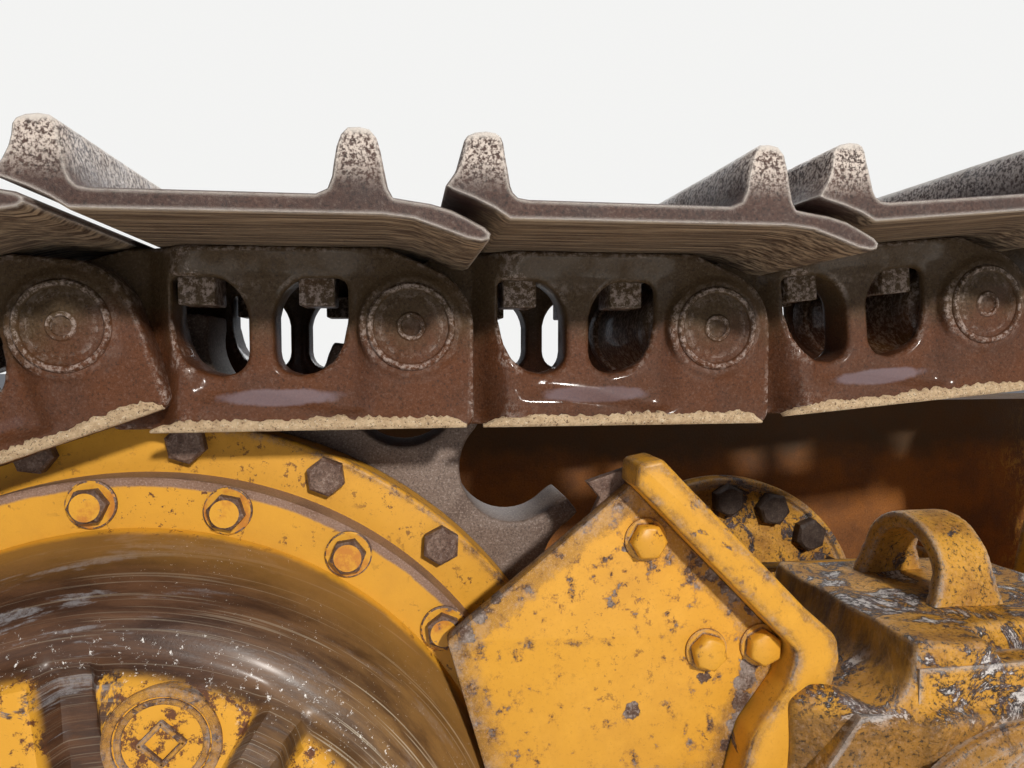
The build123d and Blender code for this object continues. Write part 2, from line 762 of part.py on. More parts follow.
def guide_guards(start, end):
    """Pair of angled guards that keep the links in line under the frame's end."""
    outer = WEB_OUT + GUARD_PLATE
    half = ((WEB_OUT, -190), (outer, -190), (outer, -396), (122, -410), (120, -398), (WEB_OUT, -386))
    with BuildPart() as guards:
        for side in (-1, 1):
            with BuildSketch(station(start)):
                Polygon(*[(side * y, z) for y, z in half], align=None)
            extrude(amount=end - start)
    return guards


def equalizer_bracket():
    """Clevis on the inboard web for the equalizer bar's pin."""
    x, y, z = EQUALIZER
    reach = EQUALIZER_PIN_R + 24
    with BuildPart() as clevis:
        for side in (-1, 1):
            near = x + side * (EQUALIZER_GAP + EQUALIZER_CHEEK) / 2 - EQUALIZER_CHEEK / 2
            with BuildSketch(station(near)):
                Polygon((WEB_OUT, z - 90), (y, z - reach), (y, z + reach), (WEB_OUT, z + 90), align=None)
                with Locations((y, z)):
                    Circle(reach)
                    Circle(EQUALIZER_PIN_R, mode=Mode.SUBTRACT)
            extrude(amount=EQUALIZER_CHEEK)
        plane, thick = slab(WEB_OUT, WEB_OUT + 16)
        with BuildSketch(plane):
            with Locations((x, z)):
                Rectangle(EQUALIZER_GAP + 2 * EQUALIZER_CHEEK, 180)
        extrude(amount=thick)
    return clevis


save("track", track())
save("sprocket_rim", sprocket_rim())
save("sprocket_hub", sprocket_hub())
save("final_drive_cover", final_drive_cover())
save("final_drive_case", final_drive_case())
save("frame_rail", frame_rail())
save("frame_web_outboard", frame_web(-1))
save("frame_web_inboard", frame_web(1))
save("frame_top_plate", frame_top_plate())
save("pivot_housing", pivot_housing())
save("pivot_shaft", pivot_shaft())
save("pivot_cap", pivot_cap())
save("sprocket_guard", sprocket_guard())
save("guard_rib", guard_rib())
save("lifting_eye", lifting_eye())
for number in range(ROLLERS):
    save(f"track_roller_{number + 1}", track_roller(number))
    save(f"roller_shaft_{number + 1}", roller_shaft(number))
for number in range(len(CARRIERS)):
    save(f"carrier_roller_{number + 1}", carrier_roller(number))
    save(f"carrier_bracket_{number + 1}", carrier_bracket(number))
save("idler_wheel", idler_wheel())
save("idler_shaft", idler_shaft())
save("idler_yoke", idler_yoke())
save("recoil_housing", recoil_housing())
save("guide_guards_rear", guide_guards(430, 900))
save("guide_guards_front", guide_guards(1560, 2030))
save("equalizer_bracket", equalizer_bracket())
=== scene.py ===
"""Dresses one side of a crawler loader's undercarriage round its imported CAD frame.

X runs forward, Y inboard and Z up, in metres. The track's middle plane lies at Y = MIDDLE. Tables of outlines
are in millimetres, as mm() turns them into metres.
"""

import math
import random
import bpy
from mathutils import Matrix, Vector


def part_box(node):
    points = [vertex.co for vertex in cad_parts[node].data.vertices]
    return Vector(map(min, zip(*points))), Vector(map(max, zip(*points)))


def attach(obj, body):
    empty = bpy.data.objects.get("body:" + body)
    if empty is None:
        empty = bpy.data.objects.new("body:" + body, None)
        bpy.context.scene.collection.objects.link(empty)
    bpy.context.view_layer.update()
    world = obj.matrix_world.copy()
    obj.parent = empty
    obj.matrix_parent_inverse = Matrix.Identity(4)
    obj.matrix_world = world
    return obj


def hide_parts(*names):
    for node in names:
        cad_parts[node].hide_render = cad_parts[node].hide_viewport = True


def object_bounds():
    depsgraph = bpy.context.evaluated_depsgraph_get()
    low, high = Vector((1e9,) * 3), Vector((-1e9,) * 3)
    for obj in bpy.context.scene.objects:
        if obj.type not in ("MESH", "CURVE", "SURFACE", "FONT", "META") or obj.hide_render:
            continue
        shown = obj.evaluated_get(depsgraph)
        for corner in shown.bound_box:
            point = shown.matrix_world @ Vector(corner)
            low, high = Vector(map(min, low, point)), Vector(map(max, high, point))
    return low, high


bl_info = {
    "name": "Crawler Track Unit",
    "version": (1, 0, 0),
    "blender": (4, 5, 0),
    "location": "3D View > Sidebar > Track Unit",
    "description": "Builds the worn steel and paint of a crawler loader's track unit round its CAD frame",
    "category": "Object",
}

import bmesh
import bpy
import numpy as np
from bpy.props import FloatProperty, FloatVectorProperty, IntProperty, PointerProperty
from mathutils import Matrix, Vector, noise

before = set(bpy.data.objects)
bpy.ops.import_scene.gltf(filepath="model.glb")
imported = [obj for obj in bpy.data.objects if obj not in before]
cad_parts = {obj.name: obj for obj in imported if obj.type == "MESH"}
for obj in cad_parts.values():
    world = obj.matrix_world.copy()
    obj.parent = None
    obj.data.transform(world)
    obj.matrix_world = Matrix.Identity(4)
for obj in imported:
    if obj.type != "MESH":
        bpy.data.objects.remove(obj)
CAD_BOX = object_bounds()


def mm(*values):
    """Millimetres as metres, for a number, a point or a list of points."""
    out = [tuple(v * 0.001 for v in value) if isinstance(value, tuple) else value * 0.001 for value in values]
    return out[0] if len(out) == 1 else out


def centre_of(node):
    """Centre of a CAD node's box."""
    low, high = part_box(node)
    return (low + high) / 2


MIDDLE = centre_of("track").y
IDLER = centre_of("idler_wheel")
PIVOT = centre_of("pivot_cap")
TRACK_LOW, TRACK_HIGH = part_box("track")

LINKS = 36
PITCH = 0.203
BOTTOM_PINS = -0.430
IDLER_PITCH_R = IDLER.z - BOTTOM_PINS
REAR_LIFT = 0.268  # where the chain starts to rise to the sprocket
TOP_FLAT = 0.384  # how far the top run is level from the sprocket
OVER_CARRIERS = [centre_of(f"carrier_roller_{n}").x for n in (1, 2)]
CARRIER_PINS = 0.426
SAG = 0.012

TEETH = 23
TOP_PIN = math.radians(93.4)
SPROCKET_STEP = 2 * math.pi / TEETH
SPROCKET_PITCH_R = PITCH / (2 * math.sin(SPROCKET_STEP))
TOOTH_RISE = 0.0125  # from the pins' circle to the tooth tips
POCKET_R = 0.0425
POCKET_MOUTH = 0.0445  # half its width at the tooth tips
RIM_THICK = 0.056
RIM_BORE_R = 0.276

# How far faces stand outboard of the middle plane
HUB_FACE = 0.056
COVER_FACE = 0.080
DOME_FACE = 0.166
GUARD_FACE = 0.112
CAP_FACE = 0.186

# How far the flange on the frame rail stands inboard of it
FLANGE_FACE = 0.279

HUB_BOLTS = 20
HUB_BOLT_R = 0.3005
COVER_BOLTS = 20
COVER_BOLT_R = 0.2645
PADS = 10
PAD_TURN = math.radians(72.8)
PLUG_R = 0.158
CAP_BOLTS = 4
CAP_BOLT_R = 0.0652
CAP_TURN = math.radians(93.5)
PIVOT_BOLTS = 16
PIVOT_BOLT_R = 0.157
GUARD_THICK = 0.012
BACKING_THICK = 0.008
BAR_THICK = 0.036
BEAM_WIDTH = 0.320


class TrackUnitSizes(bpy.types.PropertyGroup):
    shoe_half: FloatProperty(
        name="Shoe half width",
        description="From the middle plane to a shoe's end",
        default=(TRACK_HIGH.y - TRACK_LOW.y) / 2,
        unit="LENGTH",
    )
    tip_wear: FloatProperty(
        name="Tip wear", description="Most that a grouser's tip is worn down", default=0.001, unit="LENGTH"
    )
    mud: FloatProperty(
        name="Mud strip", description="Height of the dried mud along the rails", default=0.0105, unit="LENGTH"
    )
    seed: IntProperty(name="Seed", description="Start of the random wear", default=7, min=1)


def colour(name, description, value):
    """A colour of the panel."""
    return FloatVectorProperty(name=name, description=description, default=value, size=3, subtype="COLOR")


class TrackUnitColours(bpy.types.PropertyGroup):
    yellow: colour("Yellow", "Paint of hub, guard and frame", (0.60, 0.29, 0.024))
    old_yellow: colour("Old yellow", "Faded and oil-stained paint", (0.40, 0.18, 0.022))
    rust: colour("Rust", "Rust specks and bare patches", (0.11, 0.038, 0.014))
    # Painted shade: the next colour darkens the links high up, where the shoes overhang them
    dark_steel: colour("Dark steel", "Oily steel high on the links", (0.056, 0.033, 0.013))
    red_steel: colour("Red steel", "Rust-stained steel lower on the links", (0.092, 0.028, 0.007))
    worn_steel: colour("Worn steel", "Edges and tips rubbed bright", (0.56, 0.51, 0.46))
    mud: colour("Dried mud", "Sand dried on the rails", (0.72, 0.54, 0.34))
    oil: colour("Oil film", "Dark film over the drive's cover", (0.040, 0.018, 0.010))


def sizes():
    """The sizes of the panel."""
    return bpy.context.scene.track_unit_sizes


# Shades that the panel doesn't hold, as red, green and blue
SHADES = {
    # Grain over every finish
    "grain_black": (0.012, 0.007, 0.005),
    "grain_pale": (0.60, 0.52, 0.47),
    # Paint
    "sunlit_yellow": (0.74, 0.38, 0.05),
    "brown_grain": (0.30, 0.12, 0.015),
    "chip_dark": (0.085, 0.045, 0.028),
    "chip_grey": (0.21, 0.165, 0.14),
    "chip_halo": (0.26, 0.10, 0.02),
    # Links and pins
    "deep_red": (0.070, 0.025, 0.010),
    # Painted reflection: lilac-grey sky light on the links' fillet
    "wiped_steel": (0.19, 0.145, 0.165),
    "link_edge": (0.42, 0.34, 0.30),
    # Shoes
    "shoe_dark": (0.036, 0.017, 0.012),
    "shoe_brown": (0.068, 0.032, 0.022),
    "grouser_grain": (0.56, 0.48, 0.42),
    "under_dark": (0.055, 0.032, 0.020),
    "under_pale": (0.34, 0.25, 0.16),
    # Mud
    "damp_mud": (0.50, 0.34, 0.20),
    "mud_crumb": (0.16, 0.095, 0.055),
    "mud_sand": (0.80, 0.68, 0.50),
    # Dome
    "film_brown": (0.105, 0.046, 0.020),
    "film_thin": (0.20, 0.105, 0.028),
    # Painted reflection of the sky on the oil film
    "film_smear": (0.25, 0.245, 0.255),
    "film_line": (0.42, 0.36, 0.27),
    "film_haze": (0.29, 0.145, 0.034),
    "film_dust": (0.55, 0.50, 0.44),
    "rim_tan": (0.30, 0.19, 0.14),
    "rim_rust": (0.15, 0.07, 0.035),
    # Painted highlight on the cover pads' shoulder
    "glint": (0.85, 0.82, 0.78),
    # Sprocket teeth
    "tooth_brown": (0.11, 0.070, 0.052),
    "tooth_grey": (0.21, 0.155, 0.125),
    "tooth_stain": (0.07, 0.036, 0.022),
    "pocket_brown": (0.42, 0.30, 0.12),
    "pocket_straw": (0.78, 0.64, 0.36),
    # Bolts
    "bolt_brown": (0.075, 0.034, 0.020),
    "bolt_tan": (0.17, 0.105, 0.075),
    "stained_paint": (0.46, 0.17, 0.02),
    # Frame rail
    "rail_dark": (0.130, 0.044, 0.009),
    "rail_red": (0.320, 0.112, 0.016),
    "rail_flake": (0.62, 0.32, 0.04),
    # Painted shadow of the track on the rail
    "rail_soot": (0.050, 0.032, 0.014),
    # Worn castings
    "casting_yellow": (0.36, 0.16, 0.02),
    "casting_black": (0.020, 0.014, 0.015),
    "casting_brown": (0.085, 0.048, 0.045),
    "casting_steel": (0.64, 0.60, 0.57),
    "low_yellow": (0.32, 0.145, 0.018),
    "low_brown": (0.17, 0.080, 0.015),
    # Painted shade for walls that face rearwards
    "wall_yellow": (0.52, 0.250, 0.020),
    "wall_brown": (0.150, 0.076, 0.016),
    "casting_edge": (0.40, 0.38, 0.37),
    # Rollers and idler
    "roller_dark": (0.050, 0.032, 0.026),
    "roller_brown": (0.135, 0.085, 0.065),
    "roller_dust": (0.26, 0.18, 0.115),
    "tread": (0.34, 0.30, 0.28),
    # Stage
    "floor_dark": (0.78, 0.77, 0.75),
    "floor_pale": (0.83, 0.82, 0.80),
    "sky_light": (0.86, 0.90, 1.0),
    "backdrop": (0.90, 0.90, 0.89),
}


def hue(name):
    """A shade, or a colour of the panel, as red, green, blue and alpha."""
    if name in SHADES:
        return (*SHADES[name], 1.0)
    return (*getattr(bpy.context.scene.track_unit_colours, name), 1.0)


# Outlines

def rounded(points, steps=4, closed=True):
    """Points (a, b) or (a, b, radius), with each corner that has a radius turned into an arc."""
    out = []
    count = len(points)
    for i, point in enumerate(points):
        radius = point[2] if len(point) > 2 else 0.0
        here = Vector(point[:2])
        if radius <= 0 or (not closed and i in (0, count - 1)):
            out.append(tuple(here))
            continue
        back = Vector(points[i - 1][:2]) - here
        on = Vector(points[(i + 1) % count][:2]) - here
        turn = math.pi - back.angle(on)
        if turn < 0.02:
            out.append(tuple(here))
            continue
        reach = min(radius * math.tan(turn / 2), 0.48 * back.length, 0.48 * on.length)
        a, b = here + back.normalized() * reach, here + on.normalized() * reach
        for k in range(steps + 1):
            t = k / steps
            out.append(tuple(a * (1 - t) ** 2 + here * 2 * t * (1 - t) + b * t ** 2))
    return out


def arc(centre, radius, start, end, steps=12):
    """Points on an arc, from one angle in degrees to the other."""
    angles = [math.radians(start + (end - start) * k / steps) for k in range(steps + 1)]
    return [(centre[0] + radius * math.cos(a), centre[1] + radius * math.sin(a)) for a in angles]


def ring_points(centre, radius, count, start=0.0):
    """Points round a circle of the side view."""
    return [
        (centre[0] + radius * math.cos(start + 2 * math.pi * k / count),
         centre[1] + radius * math.sin(start + 2 * math.pi * k / count))
        for k in range(count)
    ]


# Shapes

class Shape:
    """Vertices, faces and each vertex's place in its own pattern, for a mesh that is being put together."""

    def __init__(self, verts=(), faces=(), local=None):
        self.verts = np.array(verts, float).reshape(-1, 3)
        self.faces = [tuple(f) for f in faces]
        self.local = self.verts.copy() if local is None else np.array(local, float).reshape(-1, 3)

    def placed(self, matrix):
        m = np.array(matrix)
        verts = self.verts @ m[:3, :3].T + m[:3, 3]
        faces = self.faces
        if np.linalg.det(m[:3, :3]) < 0:
            faces = [tuple(reversed(f)) for f in faces]
        return Shape(verts, faces, self.local)

    def moved(self, x=0.0, y=0.0, z=0.0):
        return self.placed(Matrix.Translation((x, y, z)))


def joined(shapes):
    """Several shapes as one."""
    verts, local, faces, base = [], [], [], 0
    for shape in shapes:
        verts.append(shape.verts)
        local.append(shape.local)
        faces += [tuple(i + base for i in f) for f in shape.faces]
        base += len(shape.verts)
    return Shape(np.concatenate(verts), faces, np.concatenate(local))


def from_mesh(mesh):
    """A shape of a mesh."""
    verts = np.zeros(len(mesh.vertices) * 3)
    mesh.vertices.foreach_get("co", verts)
    return Shape(verts, [tuple(p.vertices) for p in mesh.polygons])


def to_bmesh(shape):
    """A bmesh of a shape. A face that is there already is left out."""
    bm = bmesh.new()
    verts = [bm.verts.new(v) for v in shape.verts]
    for face in shape.faces:
        try:
            bm.faces.new([verts[i] for i in face])
        except ValueError:
            continue
    return bm


def from_bmesh(bm):
    """A shape of a bmesh, which is used up."""
    mesh = bpy.data.meshes.new("scratch")
    bm.to_mesh(mesh)
    bm.free()
    shape = from_mesh(mesh)
    bpy.data.meshes.remove(mesh)
    return shape


def plate(outline, thick, bevel=0.0015, holes=(), steps=2):
    """A flat plate in the side view: outline and holes as (x, z), centred on Y = 0, with rounded edges."""
    curve = bpy.data.curves.new("outline", "CURVE")
    curve.dimensions = "2D"
    curve.fill_mode = "BOTH"
    for loop in (outline, *holes):
        spline = curve.splines.new("POLY")
        spline.points.add(len(loop) - 1)
        for point, (x, z) in zip(spline.points, loop):
            point.co = (x, z, 0, 1)
        spline.use_cyclic_u = True
    curve.extrude = thick / 2 - bevel
    curve.bevel_depth = bevel
    curve.bevel_resolution = steps - 1
    curve.offset = -bevel
    thing = bpy.data.objects.new("outline", curve)
    mesh = bpy.data.meshes.new_from_object(thing)
    bpy.data.objects.remove(thing)
    bpy.data.curves.remove(curve)
    bm = bmesh.new()
    bm.from_mesh(mesh)
    bpy.data.meshes.remove(mesh)
    bmesh.ops.remove_doubles(bm, verts=bm.verts, dist=1e-5)
    bmesh.ops.recalc_face_normals(bm, faces=bm.faces)
    upright = Matrix(((1, 0, 0, 0), (0, 0, -1, 0), (0, 1, 0, 0), (0, 0, 0, 1)))
    return from_bmesh(bm).placed(upright)


def lathe(profile, segments=96, closed=True):
    """A turned piece about the Y axis through the origin, from (radius, y) points."""
    count = len(profile)
    verts = []
    for k in range(segments):
        c, s = math.cos(2 * math.pi * k / segments), math.sin(2 * math.pi * k / segments)
        verts += [(r * c, y, r * s) for r, y in profile]
    faces = []
    for k in range(segments):
        a, b = k * count, (k + 1) % segments * count
        for i in range(count if closed else count - 1):
            j = (i + 1) % count
            faces.append((a + i, a + j, b + j, b + i))
    return facing_out(Shape(verts, faces))


def facing_out(shape):
    """The same shape with its faces turned outwards and flat, zero-size faces removed."""
    bm = to_bmesh(shape)
    bmesh.ops.remove_doubles(bm, verts=bm.verts, dist=1e-6)
    bmesh.ops.dissolve_degenerate(bm, edges=bm.edges, dist=1e-7)
    bmesh.ops.recalc_face_normals(bm, faces=bm.faces)
    return from_bmesh(bm)


def block(low, high, bevel=0.002, steps=2):
    """A box between two corners with rounded edges."""
    bm = bmesh.new()
    bmesh.ops.create_cube(bm, size=1.0)
    size = Vector(high) - Vector(low)
    for vert in bm.verts:
        vert.co = Vector(low) + Vector([(c + 0.5) * s for c, s in zip(vert.co, size)])
    bmesh.ops.bevel(bm, geom=bm.edges, offset=bevel, segments=steps, affect="EDGES", profile=0.5)
    return from_bmesh(bm)


def hex_head(across, height, washer=0.0, washer_thick=0.003):
    """A hexagon bolt head on the XZ plane, standing out towards -Y, with a washer of that radius."""
    corner_r = across / math.sqrt(3)
    top_r = 0.88 * across / 2
    base = -washer_thick if washer else 0.0
    top_count = 24
    verts = [(x, y, z) for y in (base, base - 0.8 * height) for x, z in ring_points((0, 0), corner_r, 6)]
    verts += [(x, base - height, z) for x, z in ring_points((0, 0), top_r, top_count)]
    faces = [(k, (k + 1) % 6, 6 + (k + 1) % 6, 6 + k) for k in range(6)]
    for k in range(6):
        near = [12 + (4 * k + m) % top_count for m in range(5)]
        faces.append((6 + k, 6 + (k + 1) % 6, *reversed(near)))
    faces += [tuple(range(12, 12 + top_count)), tuple(range(6))]
    head = facing_out(Shape(verts, faces))
    if not washer:
        return head
    profile = [
        (0.0005, 0.0), (washer, 0.0), (washer, -0.75 * washer_thick), (washer - 0.001, -washer_thick),
        (0.0005, -washer_thick),
    ]
    return joined([head, lathe(profile, 32)])


def to_side(x, z, y, turn=0.0):
    """A place in the side view at a distance along Y, turned about Y."""
    return Matrix.Translation((x, y, z)) @ Matrix.Rotation(turn, 4, "Y")


def bolt_circle(head, centre, radius, count, start, y, turn):
    """Heads round a circle of the side view. turn() gives the next head its own angle."""
    places = ring_points(centre, radius, count, start)
    return joined([head.placed(to_side(x, z, y, turn())) for x, z in places])


def piece(name, shape, material, body="root", replaces=(), sharp=35.0):
    """Turns a shape into an object that rides on a body, with its finish and the nodes it stands for."""
    mesh = bpy.data.meshes.new(name)
    mesh.from_pydata(shape.verts.tolist(), [], shape.faces)
    mesh.validate()
    if len(mesh.vertices) == len(shape.local):
        layer = mesh.attributes.new("pattern", "FLOAT_VECTOR", "POINT")
        layer.data.foreach_set("vector", shape.local.ravel())
    mesh.shade_smooth()
    mesh.set_sharp_from_angle(angle=math.radians(sharp))
    mesh.materials.append(material)
    thing = bpy.data.objects.new(name, mesh)
    bpy.context.scene.collection.objects.link(thing)
    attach(thing, body)
    if replaces:
        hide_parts(*replaces)
    return thing


def redress(node, material):
    """Gives a CAD node that stays in view its finish."""
    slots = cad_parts[node].data.materials
    slots.clear()
    slots.append(material)


# The closed chain

def chain_path():
    """The closed path of the pins, clockwise from the sprocket's top pin, as lines and arcs."""
    def touch(point, centre, radius, above):
        away = math.atan2(point[1] - centre[1], point[0] - centre[0])
        half = math.acos(radius / math.hypot(point[0] - centre[0], point[1] - centre[1]))
        return away - half if above else away + half

    def on(centre, radius, angle):
        return centre[0] + radius * math.cos(angle), centre[1] + radius * math.sin(angle)

    idler = (IDLER.x, IDLER.z)
    first, last = OVER_CARRIERS
    top = [(0, SPROCKET_PITCH_R), (TOP_FLAT, SPROCKET_PITCH_R), (first, CARRIER_PINS),
           ((first + last) / 2, CARRIER_PINS - SAG), (last, CARRIER_PINS)]
    leave = touch(top[-1], idler, IDLER_PITCH_R, True)
    top.append(on(idler, IDLER_PITCH_R, leave))
    rear = (REAR_LIFT, BOTTOM_PINS)
    arrive = touch(rear, (0, 0), SPROCKET_PITCH_R, True)
    path = [("arc", (0, 0), SPROCKET_PITCH_R, TOP_PIN, math.pi / 2)]
    path += [("line", a, b) for a, b in zip(top, top[1:])]
    path.append(("arc", idler, IDLER_PITCH_R, leave, -math.pi / 2))
    path.append(("line", (IDLER.x, BOTTOM_PINS), rear))
    path.append(("line", rear, on((0, 0), SPROCKET_PITCH_R, arrive)))
    path.append(("arc", (0, 0), SPROCKET_PITCH_R, arrive, TOP_PIN - 2 * math.pi))
    return path


def path_point(path, distance):
    """The point on the path at a distance from its start."""
    for leg in path:
        length = math.dist(leg[1], leg[2]) if leg[0] == "line" else leg[2] * (leg[3] - leg[4])
        if distance <= length or leg is path[-1]:
            break
        distance -= length
    share = distance / length
    if leg[0] == "line":
        return tuple(a + (b - a) * share for a, b in zip(leg[1], leg[2]))
    angle = leg[3] + (leg[4] - leg[3]) * share
    return leg[1][0] + leg[2] * math.cos(angle), leg[1][1] + leg[2] * math.sin(angle)


def chain_pins():
    """The pins, one pitch apart along the path."""
    path = chain_path()
    distance, pins = 0.0, [path_point(path, 0.0)]
    for _ in range(LINKS - 1):
        low, high = distance + PITCH * 0.9, distance + PITCH * 1.2
        for _ in range(40):
            middle = (low + high) / 2
            if math.dist(path_point(path, middle), pins[-1]) < PITCH:
                low = middle
            else:
                high = middle
        distance = low
        pins.append(path_point(path, distance))
    return pins


PINS = chain_pins()


def link_place(number):
    """Where a link stands: x along it from its rear pin, y inboard, z out towards its shoe."""
    (ax, az), (bx, bz) = PINS[number], PINS[(number + 1) % LINKS]
    ux, uz = (bx - ax) / PITCH, (bz - az) / PITCH
    return Matrix(((ux, 0, -uz, ax), (0, 1, 0, MIDDLE), (uz, 0, ux, az), (0, 0, 0, 1)))


# Finishes

class Finish:
    """A node material that is put together step by step.

    Patches come from noise(scale, detail, rough), cloudy round 0.5 with scale waves to the metre, and from
    step(value, low, high), which is 0 below low and 1 above high.
    """

    def __init__(self, name):
        self.material = bpy.data.materials.new(name)
        self.material.use_nodes = True
        self.tree = self.material.node_tree
        self.tree.nodes.clear()
        self.shader = self.node("ShaderNodeBsdfPrincipled")
        output = self.node("ShaderNodeOutputMaterial")
        self.tree.links.new(self.shader.outputs["BSDF"], output.inputs["Surface"])
        self.place = self.node("ShaderNodeTexCoord").outputs["Object"]
        pattern = self.node("ShaderNodeAttribute")
        pattern.attribute_name = "pattern"
        self.pattern = pattern.outputs["Vector"]
        self.height = None

    def node(self, kind, **values):
        """A new node with its settings."""
        made = self.tree.nodes.new(kind)
        for key, value in values.items():
            setattr(made, key, value)
        return made

    def feed(self, socket, value):
        """Links an output to a socket, or sets the socket to a fixed value."""
        if isinstance(value, bpy.types.NodeSocket):
            self.tree.links.new(value, socket)
        else:
            socket.default_value = value

    def stretch(self, scale, place=None):
        """The place scaled by its own factor along each axis."""
        made = self.node("ShaderNodeMapping")
        self.feed(made.inputs["Vector"], self.place if place is None else place)
        made.inputs["Scale"].default_value = scale
        return made.outputs["Vector"]

    def noise(self, scale, detail=5.0, rough=0.6, warp=0.0, place=None):
        """Cloudy noise round 0.5."""
        made = self.node("ShaderNodeTexNoise")
        self.feed(made.inputs["Vector"], self.place if place is None else place)
        made.inputs["Scale"].default_value = scale
        made.inputs["Detail"].default_value = detail
        made.inputs["Roughness"].default_value = rough
        made.inputs["Distortion"].default_value = warp
        return made.outputs["Fac"]

    def step(self, value, low, high, to_low=0.0, to_high=1.0):
        """A soft step from one value to another as the input passes from low to high."""
        made = self.node("ShaderNodeMapRange", interpolation_type="SMOOTHSTEP")
        self.feed(made.inputs["Value"], value)
        for socket, number in zip(("From Min", "From Max", "To Min", "To Max"), (low, high, to_low, to_high)):
            made.inputs[socket].default_value = number
        return made.outputs["Result"]

    def math(self, operation, a, b=0.0, clamp=False):
        made = self.node("ShaderNodeMath", operation=operation, use_clamp=clamp)
        self.feed(made.inputs[0], a)
        self.feed(made.inputs[1], b)
        return made.outputs["Value"]

    def mix(self, amount, a, b):
        """Colour a where the amount is 0, and colour b where it is 1."""
        made = self.node("ShaderNodeMix", data_type="RGBA")
        self.feed(made.inputs["Factor"], amount)
        self.feed(made.inputs[6], a)
        self.feed(made.inputs[7], b)
        return made.outputs[2]

    def blend(self, amount, a, b):
        """Number a where the amount is 0, and number b where it is 1."""
        made = self.node("ShaderNodeMix", data_type="FLOAT")
        self.feed(made.inputs["Factor"], amount)
        self.feed(made.inputs[2], a)
        self.feed(made.inputs[3], b)
        return made.outputs[0]

    def part(self, vector, axis):
        """One of a vector's three numbers."""
        made = self.node("ShaderNodeSeparateXYZ")
        self.feed(made.inputs[0], vector)
        return made.outputs[axis]

    def edges(self, low, high):
        """How sharply the surface turns outwards, as on a rubbed edge."""
        return self.step(self.node("ShaderNodeNewGeometry").outputs["Pointiness"], low, high)

    def rim(self, radius):
        """How near the surface lies to an edge, from 0 at that radius to about 0.5 on the edge."""
        made = self.node("ShaderNodeBevel", samples=4)
        made.inputs["Radius"].default_value = radius
        both = self.node("ShaderNodeVectorMath", operation="DOT_PRODUCT")
        self.feed(both.inputs[0], made.outputs["Normal"])
        self.feed(both.inputs[1], self.node("ShaderNodeNewGeometry").outputs["Normal"])
        return self.math("SQRT", self.math("SUBTRACT", 1.0, both.outputs["Value"], clamp=True))

    def blob(self, centre, size, place=None):
        """1 at a centre, falling to 0 on an ellipsoid of that size round it."""
        made = self.node("ShaderNodeMapping", vector_type="TEXTURE")
        self.feed(made.inputs["Vector"], self.place if place is None else place)
        made.inputs["Location"].default_value = centre
        made.inputs["Scale"].default_value = size
        ball = self.node("ShaderNodeTexGradient", gradient_type="SPHERICAL")
        self.feed(ball.inputs["Vector"], made.outputs["Vector"])
        return ball.outputs["Fac"]

    def both(self, a, b):
        """The product: full only where both amounts are."""
        return self.math("MULTIPLY", a, b)

    def either(self, a, b):
        """The larger amount."""
        return self.math("MAXIMUM", a, b)

    def from_middle(self, x, z):
        """Distance from the middle of a turned piece in the side view."""
        return self.math("SQRT", self.math("ADD", self.both(x, x), self.both(z, z)))

    def ragged(self, value, scale, amount, detail=6.0):
        """A value made uneven by noise, so that a step in it has a torn edge."""
        uneven = self.math("SUBTRACT", self.noise(scale, detail, 0.72), 0.5)
        return self.math("ADD", value, self.both(uneven, amount))

    def grain(self, base, low, high, scale=850.0):
        """Fine light and dark grain over a colour."""
        fine = self.noise(scale, 2, 0.8)
        base = self.mix(self.step(fine, 0.30, 0.48, low, 0.0), base, hue("grain_black"))
        return self.mix(self.step(fine, 0.52, 0.72, 0.0, high), base, hue("grain_pale"))

    def facing(self, axis):
        """How far the surface faces along an axis, from -1 to 1."""
        return self.part(self.node("ShaderNodeNewGeometry").outputs["Normal"], axis)

    def bump(self, height, strength, distance=0.001):
        """Adds relief to what is there."""
        made = self.node("ShaderNodeBump")
        self.feed(made.inputs["Height"], height)
        made.inputs["Strength"].default_value = strength
        made.inputs["Distance"].default_value = distance
        if self.height is not None:
            self.tree.links.new(self.height, made.inputs["Normal"])
        self.height = made.outputs["Normal"]

    def done(self, base, rough, metal=0.0, **fixed):
        """Connects colour, roughness and relief, and sets the numbers that are the same all over."""
        self.feed(self.shader.inputs["Base Color"], base)
        self.feed(self.shader.inputs["Roughness"], rough)
        self.feed(self.shader.inputs["Metallic"], metal)
        if self.height is not None:
            self.tree.links.new(self.height, self.shader.inputs["Normal"])
        for name, value in fixed.items():
            self.shader.inputs[name.replace("_", " ")].default_value = value
        return self.material


